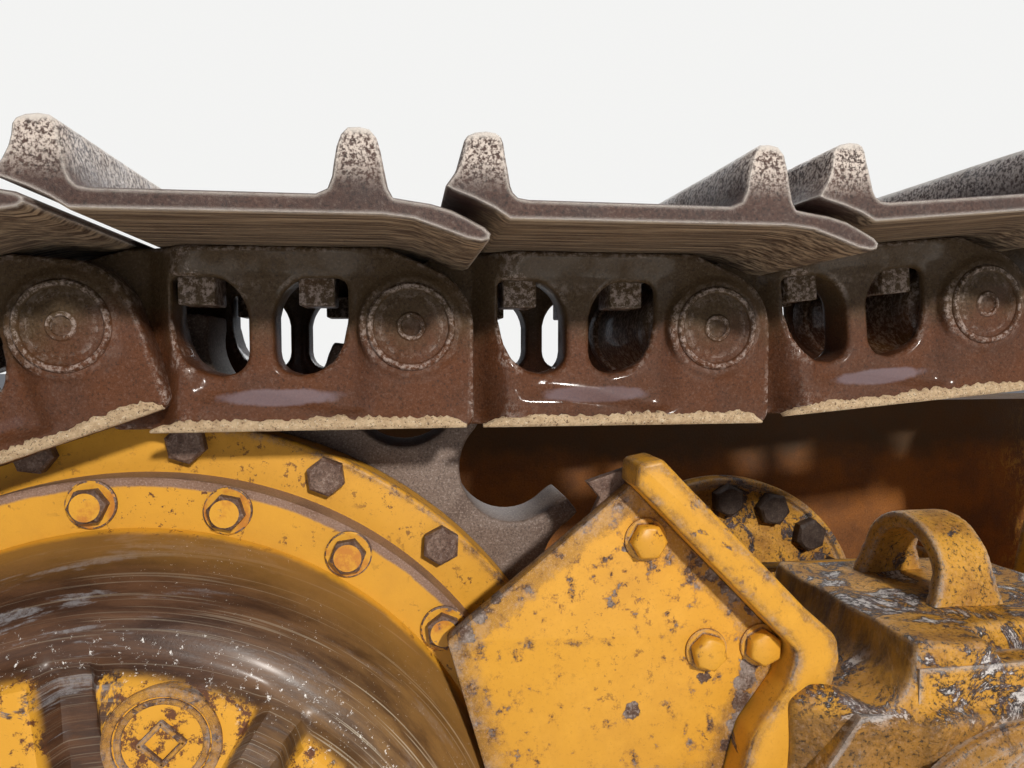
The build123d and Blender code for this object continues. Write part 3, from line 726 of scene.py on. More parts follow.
def yellow_paint(name="yellow_paint", rust=0.8, dirt=0.3, flakes=0.68, chips=0.20, band=0.012, spots=()):
    """Thick machine paint: stained, specked with rust, and chipped to steel along its edges."""
    f = Finish(name)
    stain = f.step(f.noise(6, 6, 0.65, 0.6), 0.35, 0.75, 0.0, dirt)
    base = f.mix(stain, hue("yellow"), hue("old_yellow"))
    base = f.mix(f.step(f.noise(60, 5, 0.7), 0.42, 0.75, 0.0, 0.25), base, hue("sunlit_yellow"))
    base = f.mix(f.step(f.noise(420, 3, 0.8), 0.54, 0.74, 0.0, 0.4), base, hue("brown_grain"))
    specks = f.both(f.step(f.noise(150, 7, 0.75), 0.575, 0.600), f.step(f.noise(13, 4), 0.44, 0.58))
    base = f.mix(f.both(specks, rust), base, hue("rust"))
    edge = f.ragged(f.rim(band), 75, 1.0)
    near = 0.0
    for spot_x, spot_z, size in spots:
        place = (spot_x / 1000, MIDDLE - GUARD_FACE, spot_z / 1000)
        near = f.either(f.blob(place, (size / 1000, 0.05, size / 1000)), near)
    flake_noise = f.noise(17, 9, 0.78, 0.5)
    flaked = f.either(f.step(flake_noise, flakes, flakes + 0.012), f.step(edge, chips, chips + 0.03))
    halo = f.either(f.step(flake_noise, flakes - 0.025, flakes), f.step(edge, chips - 0.06, chips))
    bare = f.mix(f.step(f.noise(55, 5, 0.7), 0.45, 0.60), hue("chip_dark"), hue("chip_grey"))
    base = f.mix(f.both(halo, 0.5), base, hue("chip_halo"))
    if spots:
        flaked = f.either(flaked, f.step(f.ragged(near, 110, 1.7), 0.40, 0.46))
    base = f.mix(flaked, base, f.grain(bare, 0.6, 0.30, 520))
    f.bump(f.noise(260, 3), 0.12, 0.0006)
    f.bump(f.both(flaked, -1.0), 0.6, 0.0006)
    rough = f.blend(flaked, f.step(f.noise(11, 4), 0.3, 0.7, 0.40, 0.58), 0.75)
    return f.done(base, rough, 0.0, Specular_IOR_Level=0.32)


def chain_steel():
    """Oily cast steel, wet, rust-red lower down and darker near the shoe as painted shade, with a painted sky
    reflection below the windows and edges rubbed bright.
    """
    f = Finish("chain_steel")
    height = f.ragged(f.part(f.pattern, 2), 30, 0.05, 4)
    red = f.mix(f.step(f.noise(24, 7, 0.72), 0.35, 0.68), hue("red_steel"), hue("deep_red"))
    # painted shade: the steel darkens towards the top of each link, under its shoe
    base = f.mix(f.step(height, -0.022, 0.018), red, hue("dark_steel"))
    base = f.grain(base, 0.6, 0.05, 600)
    # painted reflection: a lilac-grey streak of sky light on the fillet above the rail, below the front
    # window
    streak = f.blob((0.122, 0.1, -0.044), (0.056, 0.08, 0.008), f.pattern)
    wipe_marks_and_reflection = f.step(f.ragged(streak, 70, 0.5), 0.25, 0.50)
    wipe_marks_and_reflection = f.both(wipe_marks_and_reflection, f.step(f.noise(3.1, 2), 0.44, 0.56, 0.1, 0.6))
    base = f.mix(wipe_marks_and_reflection, base, hue("wiped_steel"))
    rubbed = f.both(f.edges(0.508, 0.545), f.step(f.noise(260, 5, 0.8), 0.46, 0.60))
    base = f.mix(f.both(rubbed, 0.55), base, hue("link_edge"))
    f.bump(f.noise(520, 5, 0.8), 0.5, 0.0011)
    f.bump(f.noise(60, 5, 0.65), 0.30, 0.0022)
    wet = f.step(f.noise(30, 6, 0.7), 0.40, 0.62, 0.42, 0.0)
    f.feed(f.shader.inputs["Coat Weight"], wet)
    return f.done(base, 0.6, 0.0, Specular_IOR_Level=0.25, Coat_Roughness=0.13)


def shoe_steel():
    """Rolled shoe steel, with grouser tips worn pale and streaks along its underside."""
    f = Finish("shoe_steel")
    top = f.part(f.pattern, 2)
    body = f.mix(f.step(f.noise(30, 7, 0.75), 0.3, 0.7), hue("shoe_dark"), hue("shoe_brown"))
    body = f.grain(body, 0.8, 0.07, 520)
    high = f.step(f.ragged(top, 45, 0.014), 0.060, 0.084, 0.0, 1.0)
    body = f.mix(f.both(high, f.step(f.noise(460, 3, 0.8), 0.42, 0.58)), body, hue("grouser_grain"))
    base = f.mix(f.step(f.ragged(top, 130, 0.009), 0.0880, 0.0920), body, hue("worn_steel"))
    streaks = f.noise(1, 6, 0.66, place=f.stretch((9, 300, 300), f.pattern))
    under = f.both(f.step(f.facing(2), -0.6, -0.2, 1.0, 0.0), f.step(top, 0.052, 0.06, 1.0, 0.0))
    streaked = f.mix(f.step(streaks, 0.40, 0.66), hue("under_dark"), hue("under_pale"))
    base = f.mix(under, base, streaked)
    edge = f.ragged(f.rim(0.0032), 160, 0.45)
    base = f.mix(f.step(edge, 0.20, 0.36, 0.0, 0.85), base, hue("worn_steel"))
    f.bump(f.noise(560, 4, 0.8), 0.6, 0.0012)
    f.bump(f.noise(55, 4), 0.2, 0.002)
    rough = f.step(f.noise(60, 5, 0.7), 0.3, 0.7, 0.42, 0.68)
    return f.done(base, rough, 0.0, Specular_IOR_Level=0.45)


def dried_mud():
    """Pale mud with darker crumbs and sand in it."""
    f = Finish("dried_mud")
    base = f.mix(f.step(f.noise(190, 6, 0.75), 0.32, 0.66), hue("damp_mud"), hue("mud"))
    base = f.mix(f.step(f.noise(620, 3, 0.7), 0.56, 0.66), base, hue("mud_crumb"))
    base = f.mix(f.step(f.noise(540, 3, 0.7), 0.58, 0.68), base, hue("mud_sand"))
    f.bump(f.noise(560, 5, 0.8), 1.0, 0.0022)
    return f.done(base, 0.92, 0.0, Specular_IOR_Level=0.25)


def oily_dome():
    """Paint under a film of oil wiped in arcs, with clean paint by the flange and on the pads, smears of
    painted sky reflection over the film, and painted glints on the pads' shoulder.
    """
    f = Finish("oily_dome")
    x, y, z = (f.part(f.pattern, axis) for axis in range(3))
    radius = f.from_middle(x, z)
    angle = f.math("ARCTAN2", z, x)
    polar = f.node("ShaderNodeCombineXYZ")
    f.feed(polar.inputs[0], f.math("ADD", radius, f.both(angle, 0.010)))
    f.feed(polar.inputs[1], angle)
    arcs = polar.outputs[0]
    wipe_marks_and_reflection = f.noise(1, 7, 0.68, 0.2, place=f.stretch((130, 3.2, 1), arcs))
    film = f.mix(f.step(wipe_marks_and_reflection, 0.35, 0.70), hue("oil"), hue("film_brown"))
    thin = f.step(f.math("ADD", angle, f.both(f.noise(5, 4), 0.5)), 0.90, 1.60, 1.0, 0.0)
    film = f.mix(f.both(thin, f.step(wipe_marks_and_reflection, 0.36, 0.66, 0.25, 0.85)), film, hue("film_thin"))
    # painted reflection: blue-grey smears of sky light on the film, over the upper part of the cover
    reflection_smears = f.step(f.noise(1, 6, 0.7, 0.3, place=f.stretch((75, 1.5, 1), arcs)), 0.545, 0.60)
    reflection_smears = f.both(reflection_smears, f.step(f.noise(300, 5, 0.8), 0.34, 0.58, 0.25, 1.0))
    reflection_smears = f.both(reflection_smears, f.step(angle, 1.05, 1.80, 0.15, 0.65))
    film = f.mix(reflection_smears, film, hue("film_smear"))
    lines = f.step(f.noise(1, 2, 0.6, place=f.stretch((820, 1.1, 1), arcs)), 0.58, 0.64)
    film = f.mix(f.both(lines, f.step(thin, 0.0, 1.0, 0.20, 0.60)), film, hue("film_line"))
    haze = f.both(f.step(f.ragged(radius, 20, 0.012), 0.226, 0.246), 0.75)
    film = f.mix(haze, film, hue("film_haze"))
    dust = f.both(f.step(f.noise(480, 3, 0.8), 0.66, 0.70), f.step(f.noise(12, 4), 0.45, 0.58))
    film = f.mix(dust, film, hue("film_dust"))
    clean_rim = f.step(f.ragged(radius, 30, 0.003), 0.2452, 0.2472)
    faded = f.step(f.noise(16, 6, 0.7), 0.40, 0.75, 0.0, 0.35)
    paint = f.mix(faded, hue("yellow"), hue("old_yellow"))
    specks = f.both(f.step(f.noise(150, 7, 0.75), 0.575, 0.60), f.step(f.noise(13, 4), 0.40, 0.56))
    paint = f.mix(specks, paint, hue("rust"))
    worn = f.step(f.ragged(radius, 40, 0.004), 0.2735, 0.2755)
    bare = f.mix(f.noise(50, 5), hue("rim_tan"), hue("rim_rust"))
    paint = f.mix(worn, paint, f.grain(bare, 0.5, 0.3))
    base = f.mix(clean_rim, film, paint)
    on_pad = f.both(f.step(radius, 0.186, 0.196, 1.0, 0.0), f.step(y, -0.164, -0.157, 1.0, 0.0))
    left = f.both(on_pad, f.step(f.noise(15, 9, 0.72, 0.5), 0.45, 0.49))
    rusty = f.mix(f.step(f.noise(70, 7, 0.78), 0.52, 0.58), hue("yellow"), hue("rust"))
    base = f.mix(left, base, rusty)
    # painted highlight: near-white glints speckled along the pads' shoulder
    shoulder = f.both(f.step(radius, 0.176, 0.192), f.step(radius, 0.204, 0.214, 1.0, 0.0))
    glint = f.both(shoulder, f.step(f.noise(240, 5, 0.85), 0.60, 0.66))
    base = f.mix(f.both(glint, 0.9), base, hue("glint"))
    f.bump(f.noise(1, 6, 0.7, place=f.stretch((180, 4, 1), arcs)), 0.06, 0.001)
    f.bump(f.noise(520, 4, 0.8), 0.22, 0.0008)
    matt = f.either(left, clean_rim)
    rough = f.blend(matt, f.step(wipe_marks_and_reflection, 0.3, 0.7, 0.30, 0.60), 0.5)
    f.feed(f.shader.inputs["Coat Weight"], f.step(matt, 0.0, 1.0, 0.16, 0.0))
    return f.done(base, rough, 0.0, Specular_IOR_Level=0.35, Coat_Roughness=0.22)


def cast_segment():
    """Cast sprocket steel, grey-brown, with its pockets rubbed clean by the bushings."""
    f = Finish("cast_segment")
    x, z = f.part(f.pattern, 0), f.part(f.pattern, 2)
    radius = f.from_middle(x, z)
    base = f.mix(f.noise(40, 6, 0.7), hue("tooth_brown"), hue("tooth_grey"))
    base = f.mix(f.step(f.noise(15, 4), 0.52, 0.64, 0.0, 0.5), base, hue("tooth_stain"))
    base = f.grain(base, 0.6, 0.3, 650)
    level = f.step(f.math("ABSOLUTE", f.facing(1)), 0.25, 0.5, 1.0, 0.0)
    pocket = f.both(level, f.step(radius, 0.328, 0.334))
    lines = f.noise(1, 5, 0.7, place=f.stretch((60, 900, 60), f.pattern))
    straw = f.mix(f.step(lines, 0.38, 0.62), hue("pocket_brown"), hue("pocket_straw"))
    base = f.mix(pocket, base, straw)
    f.bump(f.noise(420, 4, 0.75), 0.4, 0.001)
    rough = f.blend(pocket, 0.66, 0.42)
    return f.done(base, rough, 0.0, Specular_IOR_Level=0.5)


def bolt_steel(name="bolt_steel", paint=0.5, tone=1.0):
    """Rusty bolt heads that keep some of the paint on their faces and washers.

    A paint below zero leaves none of it.
    """
    f = Finish(name)
    dark, pale = ((*[part * tone for part in SHADES[name]], 1.0) for name in ("bolt_brown", "bolt_tan"))
    rusty = f.grain(f.mix(f.step(f.noise(90, 6, 0.7), 0.35, 0.65), dark, pale), 0.6, 0.2 * tone, 600)
    flat = f.ragged(f.math("ABSOLUTE", f.facing(1)), 110, 0.9, 5)
    kept = f.step(flat, 1.10 - paint * 0.5, 1.16 - paint * 0.5)
    painted = f.mix(f.step(f.noise(60, 5, 0.7), 0.45, 0.62), hue("yellow"), hue("stained_paint"))
    base = f.mix(kept, rusty, painted)
    f.bump(f.noise(420, 4), 0.4, 0.0008)
    return f.done(base, f.blend(kept, 0.6, 0.45), 0.0, Specular_IOR_Level=0.4)


def rusty_rail():
    """Rust with small flakes of paint left towards the front, darkened above as painted shadow of the track.
    """
    f = Finish("rusty_rail")
    red = f.mix(f.step(f.noise(10, 8, 0.72), 0.3, 0.7), hue("rail_dark"), hue("rail_red"))
    red = f.grain(red, 0.5, 0.06, 500)
    along = f.step(f.ragged(f.part(f.place, 0), 4, 0.5), 0.93, 1.12)
    left = f.both(f.step(f.noise(1, 7, 0.8, place=f.stretch((150, 150, 70))), 0.50, 0.55), along)
    base = f.mix(left, red, hue("rail_flake"))
    # painted shadow: the rail darkens above, where the track shades it
    dark = f.step(f.ragged(f.part(f.place, 2), 7, 0.10), 0.205, 0.245, 0.0, 0.8)
    base = f.mix(dark, base, hue("rail_soot"))
    f.bump(f.noise(300, 5, 0.78), 0.5, 0.0014)
    return f.done(base, f.step(f.noise(20, 4), 0.3, 0.7, 0.5, 0.8), 0.0, Specular_IOR_Level=0.4)


def worn_paint(name="worn_paint", kept=0.50, pale=0.60, dirt=0.5):
    """Rough casting with its paint knocked off down to black and bare steel, and painted shade in streaked
    brown on its rear-facing walls.
    """
    f = Finish(name)
    patch = f.noise(24, 9, 0.80, 0.7)
    paint = f.mix(f.step(f.noise(30, 6, 0.7), 0.40, 0.66), hue("yellow"), hue("casting_yellow"))
    paint = f.grain(paint, 0.85, 0.12, 330)
    dark = f.mix(f.step(f.noise(70, 6, 0.75), 0.4, 0.6), hue("casting_black"), hue("casting_brown"))
    dark = f.grain(dark, 0.5, 0.30, 330)
    base = f.mix(f.step(patch, kept, kept + 0.02), paint, dark)
    bright = f.both(f.step(patch, pale, pale + 0.02), f.step(f.noise(240, 5, 0.8), 0.40, 0.50))
    base = f.mix(bright, base, hue("casting_steel"))
    brown = f.mix(f.step(f.noise(26, 6, 0.7), 0.35, 0.65), hue("low_yellow"), hue("low_brown"))
    low = f.step(f.ragged(f.part(f.place, 2), 40, 0.02), 0.120, 0.134, dirt, 0.0)
    low = f.both(low, f.step(f.facing(1), -0.6, -0.3, 1.0, 0.0))
    base = f.mix(low, base, f.grain(brown, 0.9, 0.10, 330))
    # painted shade: faces turned rearwards, away from the light, go streaked brown; dirt sets both this and
    # the brown low on outboard faces
    streaks = f.noise(1, 6, 0.75, place=f.stretch((60, 60, 14)))
    shade = f.mix(f.step(streaks, 0.35, 0.65), hue("wall_yellow"), hue("wall_brown"))
    wall = f.step(f.facing(0), -0.90, -0.60, dirt, 0.0)
    base = f.mix(wall, base, shade)
    edge = f.ragged(f.rim(0.008), 60, 0.60)
    base = f.mix(f.step(edge, 0.22, 0.27, 0.0, 0.9), base, f.grain(hue("casting_edge"), 0.8, 0.6, 420))
    f.bump(f.noise(200, 6, 0.8), 0.8, 0.0020)
    f.bump(f.step(patch, kept - 0.01, kept + 0.03, 1.0, 0.0), 0.6, 0.0009)
    return f.done(base, f.step(f.noise(30, 5), 0.3, 0.7, 0.36, 0.66), 0.0, Specular_IOR_Level=0.5)


def roller_steel():
    """Dirty roller and idler steel, with treads polished by the rails."""
    f = Finish("roller_steel")
    base = f.mix(f.noise(28, 7, 0.72), hue("roller_dark"), hue("roller_brown"))
    base = f.mix(f.step(f.noise(9, 5, 0.7), 0.48, 0.62, 0.0, 0.7), base, hue("roller_dust"))
    base = f.mix(f.both(f.edges(0.52, 0.56), 0.7), base, hue("tread"))
    f.bump(f.noise(260, 5, 0.7), 0.3, 0.001)
    return f.done(base, f.step(f.noise(35, 5), 0.3, 0.7, 0.32, 0.62), 0.4, Specular_IOR_Level=0.5)


# Bare patches on the guard as x, z and size, in millimetres
GUARD_CHIPS = (
    (372, 219, 7), (381, 210, 10), (390, 202, 9), (398, 195, 10), (408, 186, 9), (411, 149, 15),
    (406, 135, 13), (404, 121, 14), (402, 106, 13), (399, 90, 15), (377, 139, 9), (326, 120, 9),
    (214, 180, 12), (223, 190, 9), (234, 201, 7), (322, 232, 7),
)
MAKERS = {
    "yellow": yellow_paint,
    "chain": chain_steel,
    "shoe": shoe_steel,
    "mud": dried_mud,
    "dome": oily_dome,
    "segment": cast_segment,
    "bolt": bolt_steel,
    "rail": rusty_rail,
    "worn": worn_paint,
    "roller": roller_steel,
    "frame": lambda: yellow_paint("frame_paint", rust=0.8, dirt=0.6, flakes=0.60, chips=0.25),
    "guard": lambda: yellow_paint(
        "guard_paint", rust=0.5, dirt=0.5, flakes=0.660, chips=0.18, band=0.028, spots=GUARD_CHIPS
    ),
    "bar": lambda: yellow_paint("bar_paint", rust=0.6, dirt=0.30, flakes=0.64, chips=0.24, band=0.014),
    "guard_bolt": lambda: yellow_paint(
        "guard_bolt_paint", rust=0.9, dirt=0.5, flakes=0.62, chips=0.28, band=0.003
    ),
    "plug": lambda: yellow_paint("plug_paint", rust=0.9, dirt=0.9, flakes=0.52),
    "dark_bolt": lambda: bolt_steel("dark_bolt_steel", paint=-0.6),
    "black_bolt": lambda: bolt_steel("black_bolt_steel", paint=-0.6, tone=0.32),
    "bare": lambda: bolt_steel("bare_steel", paint=-2.0),
    "head": lambda: worn_paint("head_paint", kept=0.50, pale=0.555, dirt=0.9),
    "loop": lambda: worn_paint("loop_paint", kept=0.57, pale=0.70, dirt=0.0),
    "casting": lambda: worn_paint("casting_paint", kept=0.60, pale=0.72, dirt=0.7),
    "flange": lambda: worn_paint("flange_paint", kept=0.54, pale=0.80, dirt=0.0),
}
FINISHES = {}


def finish(name):
    """The named finish, made when it is first asked for."""
    if name not in FINISHES:
        FINISHES[name] = MAKERS[name]()
    return FINISHES[name]


# Chain pieces

# Rear window of a link, from its pin
WINDOW = ((57, 31), (57, 4.6), (60.2, -10.9), (65.3, -21.2), (75.6, -28.3), (87.1, -30.9), (96.1, -28.3),
          (100.6, -23.8), (102.5, -17.3), (102.5, 7.2), (100.6, 14.9), (96.1, 22.6), (90.3, 28), (84.6, 30.6))
MULLION = 110.25
BOSS_R = 40
LINK_TOP = 50
LINK_FRONT = 243
RAIL_BOTTOM = -65
STRAND_THICK = 0.046
INNER_FACE = 60  # of the strand at its bushing end, from the middle plane
OUTER_FACE = 82
OFFSET = 24  # how much further out the strand lies at its pin end


def window_outline(side):
    """A shoe nut window: square by the nut, arched towards the mullion between the two windows."""
    points = WINDOW if side < 0 else [(2 * MULLION - x, z) for x, z in reversed(WINDOW)]
    return rounded([(*mm(p), 0.006 if i > 1 else 0.0) for i, p in enumerate(points)], 2)


def smooth(t):
    """A soft step from 0 to 1."""
    t = np.clip(t, 0.0, 1.0)
    return t * t * (3 - 2 * t)


def link_half(triangles=4600):
    """Inboard half of one link: bushing end inside, pin end outside, windows between and a rail below."""
    outline = [mm(p) for p in (
        *arc((0, 0), BOSS_R, 250, 110, 12), (30, LINK_TOP), (188, LINK_TOP),
        *arc((PITCH * 1000, 0), BOSS_R, 70, -5, 9), (LINK_FRONT, -30),
    )]
    toe = [mm((LINK_FRONT, -30)), (*mm((LINK_FRONT, RAIL_BOTTOM)), 0.009), mm((200, RAIL_BOTTOM))]
    outline += rounded(toe, 4, closed=False)[1:]
    outline += [mm((16, RAIL_BOTTOM)), mm((12, -48))]
    bm = to_bmesh(plate(outline, STRAND_THICK, 0.003, [window_outline(-1), window_outline(1)], 2))
    cuts = [((x * 0.001, 0, 0), (1, 0, 0)) for x in range(34, 188, 7)]
    cuts += [((0, 0, z * 0.001), (0, 0, 1))
             for z in (-60, -56, -52, -48, -44, -40, -36, -32, -26, -20, -8, 6, 20, 34, 42)]
    for point, normal in cuts:
        everything = bm.verts[:] + bm.edges[:] + bm.faces[:]
        bmesh.ops.bisect_plane(bm, geom=everything, plane_co=point, plane_no=normal)
    bmesh.ops.triangulate(bm, faces=bm.faces)
    co = np.array([v.co for v in bm.verts])
    x, t, z = co[:, 0] * 1000, co[:, 1] / STRAND_THICK + 0.5, co[:, 2] * 1000
    inner = INNER_FACE + OFFSET * smooth((x - 128) / 34)
    low = np.clip((-z - 28) / 37, 0, 1)
    outer = OUTER_FACE + OFFSET * smooth((x - 38 - 6 * low) / (32 - 14 * low))
    far = smooth((x - 95) / 80)
    hollow = smooth((z + 50 + 7 * far) / (14 - 9 * far)) * smooth((x - 60) / 20)
    hollow = hollow * (1 - smooth((x - 166) / 14)) * (1 - smooth((z - 36) / 12))
    y = inner + (outer - inner) * t + hollow * np.where(t > 0.5, -7.0, 6.0)
    for vert, new in zip(bm.verts, y):
        vert.co.y = new * 0.001
    body = from_bmesh(bm)
    pin_boss = lathe([(0.0004, 0.082), (0.033, 0.082), (0.033, 0.107), (0.031, 0.109), (0.0004, 0.109)], 40)
    bush_boss = lathe([(0.0004, 0.058), (0.036, 0.058), (0.036, 0.084), (0.0004, 0.084)], 40)
    return cast(joined([body, pin_boss.moved(PITCH), bush_boss]), 0.0022, 2, triangles)


def cast(shape, voxel, passes, triangles, lumps=0.0):
    """Melts overlapping shapes into one skin with cast fillets, brought down to a number of triangles."""
    mesh = bpy.data.meshes.new("cast")
    mesh.from_pydata(shape.verts.tolist(), [], shape.faces)
    thing = bpy.data.objects.new("cast", mesh)
    bpy.context.scene.collection.objects.link(thing)
    skin = thing.modifiers.new("skin", "REMESH")
    skin.mode = "VOXEL"
    skin.voxel_size = voxel
    ease = thing.modifiers.new("ease", "SMOOTH")
    ease.factor = 0.5
    ease.iterations = passes
    thin = thing.modifiers.new("thin", "DECIMATE")
    evaluated = thing.evaluated_get(bpy.context.evaluated_depsgraph_get())
    faces = sum(len(p.vertices) - 2 for p in evaluated.data.polygons)
    thin.ratio = min(1.0, triangles / max(1, faces))
    bpy.context.view_layer.update()
    evaluated = thing.evaluated_get(bpy.context.evaluated_depsgraph_get())
    out = from_mesh(evaluated.data)
    bpy.data.objects.remove(thing)
    bpy.data.meshes.remove(mesh)
    noise.seed_set(sizes().seed)
    for i, vert in enumerate(out.verts if lumps else ()):
        out.verts[i] = Vector(vert) + noise.noise_vector(Vector(vert) * 28) * lumps
    return out


# From the inboard strand to the outboard one
ACROSS = Matrix.Scale(-1, 4, (0, 1, 0))


def pin_end():
    """End of a pin in its boss, turned from (radius, y): a raised ring round it, and a centre hole."""
    profile = mm(
        (0.4, 104.5), (4.0, 104.5), (5.2, 107.4), (6.2, 110.6), (8.2, 110.6), (9.4, 109.4), (19.0, 109.4),
        (20.4, 108.8), (21.2, 106.4), (22.6, 106.4), (23.4, 110.2), (24.4, 111.2), (26.4, 111.2),
        (27.6, 110.0), (28.0, 108.4), (29.8, 108.2), (29.8, 104.0), (0.4, 104.0),
    )
    return lathe(profile, 48)


def bushing():
    """Tube between the two strands."""
    bore, outside, half, soft = 0.020, 0.0365, 0.064, 0.002
    return lathe(rounded([(bore, -half), (outside, -half, soft), (outside, half, soft), (bore, half)], 2), 40)


# A shoe from its rear pin: front lip, two grousers and the rear lip that hangs over its neighbour
SHOE_OUTLINE = (
    (16.5, 65.5), (20.7, 71.5), (23.6, 77.4), (25, 82.6), (25.6, 87.8), (27.3, 90.5), (31.2, 92.3),
    (36.5, 93), (41.2, 92.4), (43.8, 90.6), (45, 87.4), (45.8, 81.5), (47.2, 74.4), (48.5, 66.6),
    (49.8, 63.3), (52.5, 60.8), (57.9, 60), (112, 60), (166, 60), (171.6, 62.6), (173.8, 68.4),
    (174.8, 75.3), (176.2, 83.1), (178.3, 88.9), (181.4, 92.4), (186.8, 92.9), (191.6, 91.8),
    (195.0, 87.6), (196.9, 80.5), (198.4, 72.3), (200.2, 63.4), (202.5, 59), (210, 57.9), (220.6, 56.5),
    (231.2, 53.7), (239, 50), (247.5, 45.6), (250.3, 42.6), (249.6, 39.6), (246, 38.2), (238.3, 39.4),
    (225.7, 43.9), (212.2, 48.4), (197, 50), (48.5, 49.5), (40.5, 54.5), (30.5, 59.1), (19.6, 63),
)


# Along the link: a bolt's head on the shoe, and its nut in the window
SHOE_BOLTS = ((0.078, 0.0715), (0.142, 0.1440))


def shoe():
    """One shoe along its link, rolled to a hooked front edge, two grousers and a curved rear lip."""
    outline = [mm(p) for p in SHOE_OUTLINE]
    half = sizes().shoe_half
    stations = [-half, -half + 0.0012, *[half * k / 8 for k in range(-7, 8)], half - 0.0012, half]
    count = len(outline)
    verts, faces = [], []
    for k, y in enumerate(stations):
        inset = 0.0010 if k in (0, len(stations) - 1) else 0.0
        for i, (x, z) in enumerate(outline):
            along = Vector(outline[(i + 1) % count]) - Vector(outline[i - 1])
            away = Vector((along.y, -along.x)).normalized() * inset
            verts.append((x + away.x, y, z + away.y))
    for k in range(len(stations) - 1):
        a, b = k * count, (k + 1) * count
        faces += [(a + i, a + (i + 1) % count, b + (i + 1) % count, b + i) for i in range(count)]
    faces.append(tuple(range(count)))
    faces.append(tuple(range(len(verts) - count, len(verts))))
    bm = to_bmesh(Shape(verts, faces))
    bmesh.ops.recalc_face_normals(bm, faces=bm.faces)
    bmesh.ops.triangulate(bm, faces=[f for f in bm.faces if len(f.verts) > 4])
    return from_bmesh(bm)


def worn_tips(shape, number):
    """A shoe worn unevenly, differently on each: its grouser tips, and how far its rear lip reaches."""
    verts = shape.verts.copy()
    verts[:, 0] -= (0.0042 + 0.0042 * math.cos(2.4 * number)) * smooth((verts[:, 0] - 0.10) / 0.07)
    for i, (x, y, z) in enumerate(shape.verts):
        if z > 0.080:
            amount = noise.noise(Vector((x * 30, y * 14, number * 3.7))) * 0.5 + 0.5
            verts[i, 2] = z - sizes().tip_wear * amount * (z - 0.080) / 0.013
    return Shape(verts, shape.faces, shape.local)


def shoe_nut():
    """Square nut in the top of a link's window."""
    half, top, bottom, soft = 0.011, 0.031, 0.0136, 0.0015
    outline = rounded([(-half, top), (-half, bottom, soft), (half, bottom, soft), (half, top)], 3)
    return plate(outline, 0.030, 0.0010)


def mud_strip(rng):
    """Ragged strip of dried mud along the lower outer edge of a link's rail."""
    count, start, end, bottom = 90, 0.046, 0.238, -0.0645
    verts, faces = [], []
    height, tall, proud = sizes().mud, 0.8, 0.5
    for k in range(count + 1):
        x = start + (end - start) * k / count
        fade = min(1.0, k / 9, (count - k) / 4)
        tall += (0.8 + 0.5 * (rng.random() - 0.5) - tall) * 0.55
        proud += (0.4 + rng.random() - proud) * 0.6
        top = height * tall * (0.25 + 0.75 * fade) * (0.85 + 0.2 * k / count)
        out = 0.0022 * proud * (0.2 + 0.8 * fade)
        verts += [(x, 0.1030, bottom - 0.0005), (x, 0.1055 + out * 0.6, bottom),
                  (x, 0.1062 + out, bottom + top * 0.5), (x, 0.1056, bottom + top), (x, 0.1000, bottom + top)]
    for k in range(count):
        a, b = 5 * k, 5 * (k + 1)
        faces += [(a + i, a + (i + 1) % 5, b + (i + 1) % 5, b + i) for i in range(5)]
    faces += [(0, 1, 2, 3, 4), tuple(5 * count + i for i in range(5))]
    return facing_out(Shape(verts, faces))


class TRACKUNIT_OT_links(bpy.types.Operator):
    """Cast links of both strands"""

    bl_idname = "trackunit.links"
    bl_label = "Links"

    def execute(self, context):
        half = link_half()
        other = half.placed(ACROSS)
        inboard = joined([half.placed(link_place(n)) for n in range(LINKS)])
        outboard = joined([other.placed(link_place(n)) for n in range(LINKS)])
        piece("links_inboard", inboard, finish("chain"), replaces=["track"], sharp=55)
        piece("links_outboard", outboard, finish("chain"), replaces=["track"], sharp=55)
        return {"FINISHED"}


class TRACKUNIT_OT_pins(bpy.types.Operator):
    """Pin ends in their bosses, and the bushings that the sprocket pulls on"""

    bl_idname = "trackunit.pins"
    bl_label = "Pins and Bushings"

    def execute(self, context):
        end, tube = pin_end(), bushing()
        shapes = []
        for number in range(LINKS):
            place = link_place(number)
            near, far = end.moved(PITCH), end.moved(PITCH).placed(ACROSS)
            shapes += [near.placed(place), far.placed(place), tube.placed(place)]
        piece("pins_and_bushings", joined(shapes), finish("chain"), replaces=["track"])
        return {"FINISHED"}


class TRACKUNIT_OT_shoes(bpy.types.Operator):
    """Track shoes with worn grouser tips, their bolts and nuts"""

    bl_idname = "trackunit.shoes"
    bl_label = "Shoes"

    def execute(self, context):
        plain = shoe()
        shoes = joined([worn_tips(plain, n).placed(link_place(n)) for n in range(LINKS)])
        piece("track_shoes", shoes, finish("shoe"), replaces=["track"], sharp=40)
        head = hex_head(0.030, 0.012).placed(Matrix.Rotation(math.radians(-90), 4, "X"))
        nut = shoe_nut()
        fixings = []
        for number in range(LINKS):
            place = link_place(number)
            for head_at, nut_at in SHOE_BOLTS:
                for side in (-1, 1):
                    fixings.append(head.moved(head_at, side * 0.083, 0.062).placed(place))
                    fixings.append(nut.moved(nut_at, side * 0.080).placed(place))
        piece("shoe_bolts", joined(fixings), finish("chain"))
        return {"FINISHED"}


class TRACKUNIT_OT_mud(bpy.types.Operator):
    """Mud dried along the rails"""

    bl_idname = "trackunit.mud"
    bl_label = "Dried Mud"

    def execute(self, context):
        rng = random.Random(sizes().seed)
        strips = []
        for number in range(LINKS):
            place = link_place(number)
            strips += [mud_strip(rng).placed(place), mud_strip(rng).placed(ACROSS).placed(place)]
        piece("dried_mud", joined(strips), finish("mud"), sharp=80)
        return {"FINISHED"}


# Sprocket and final drive

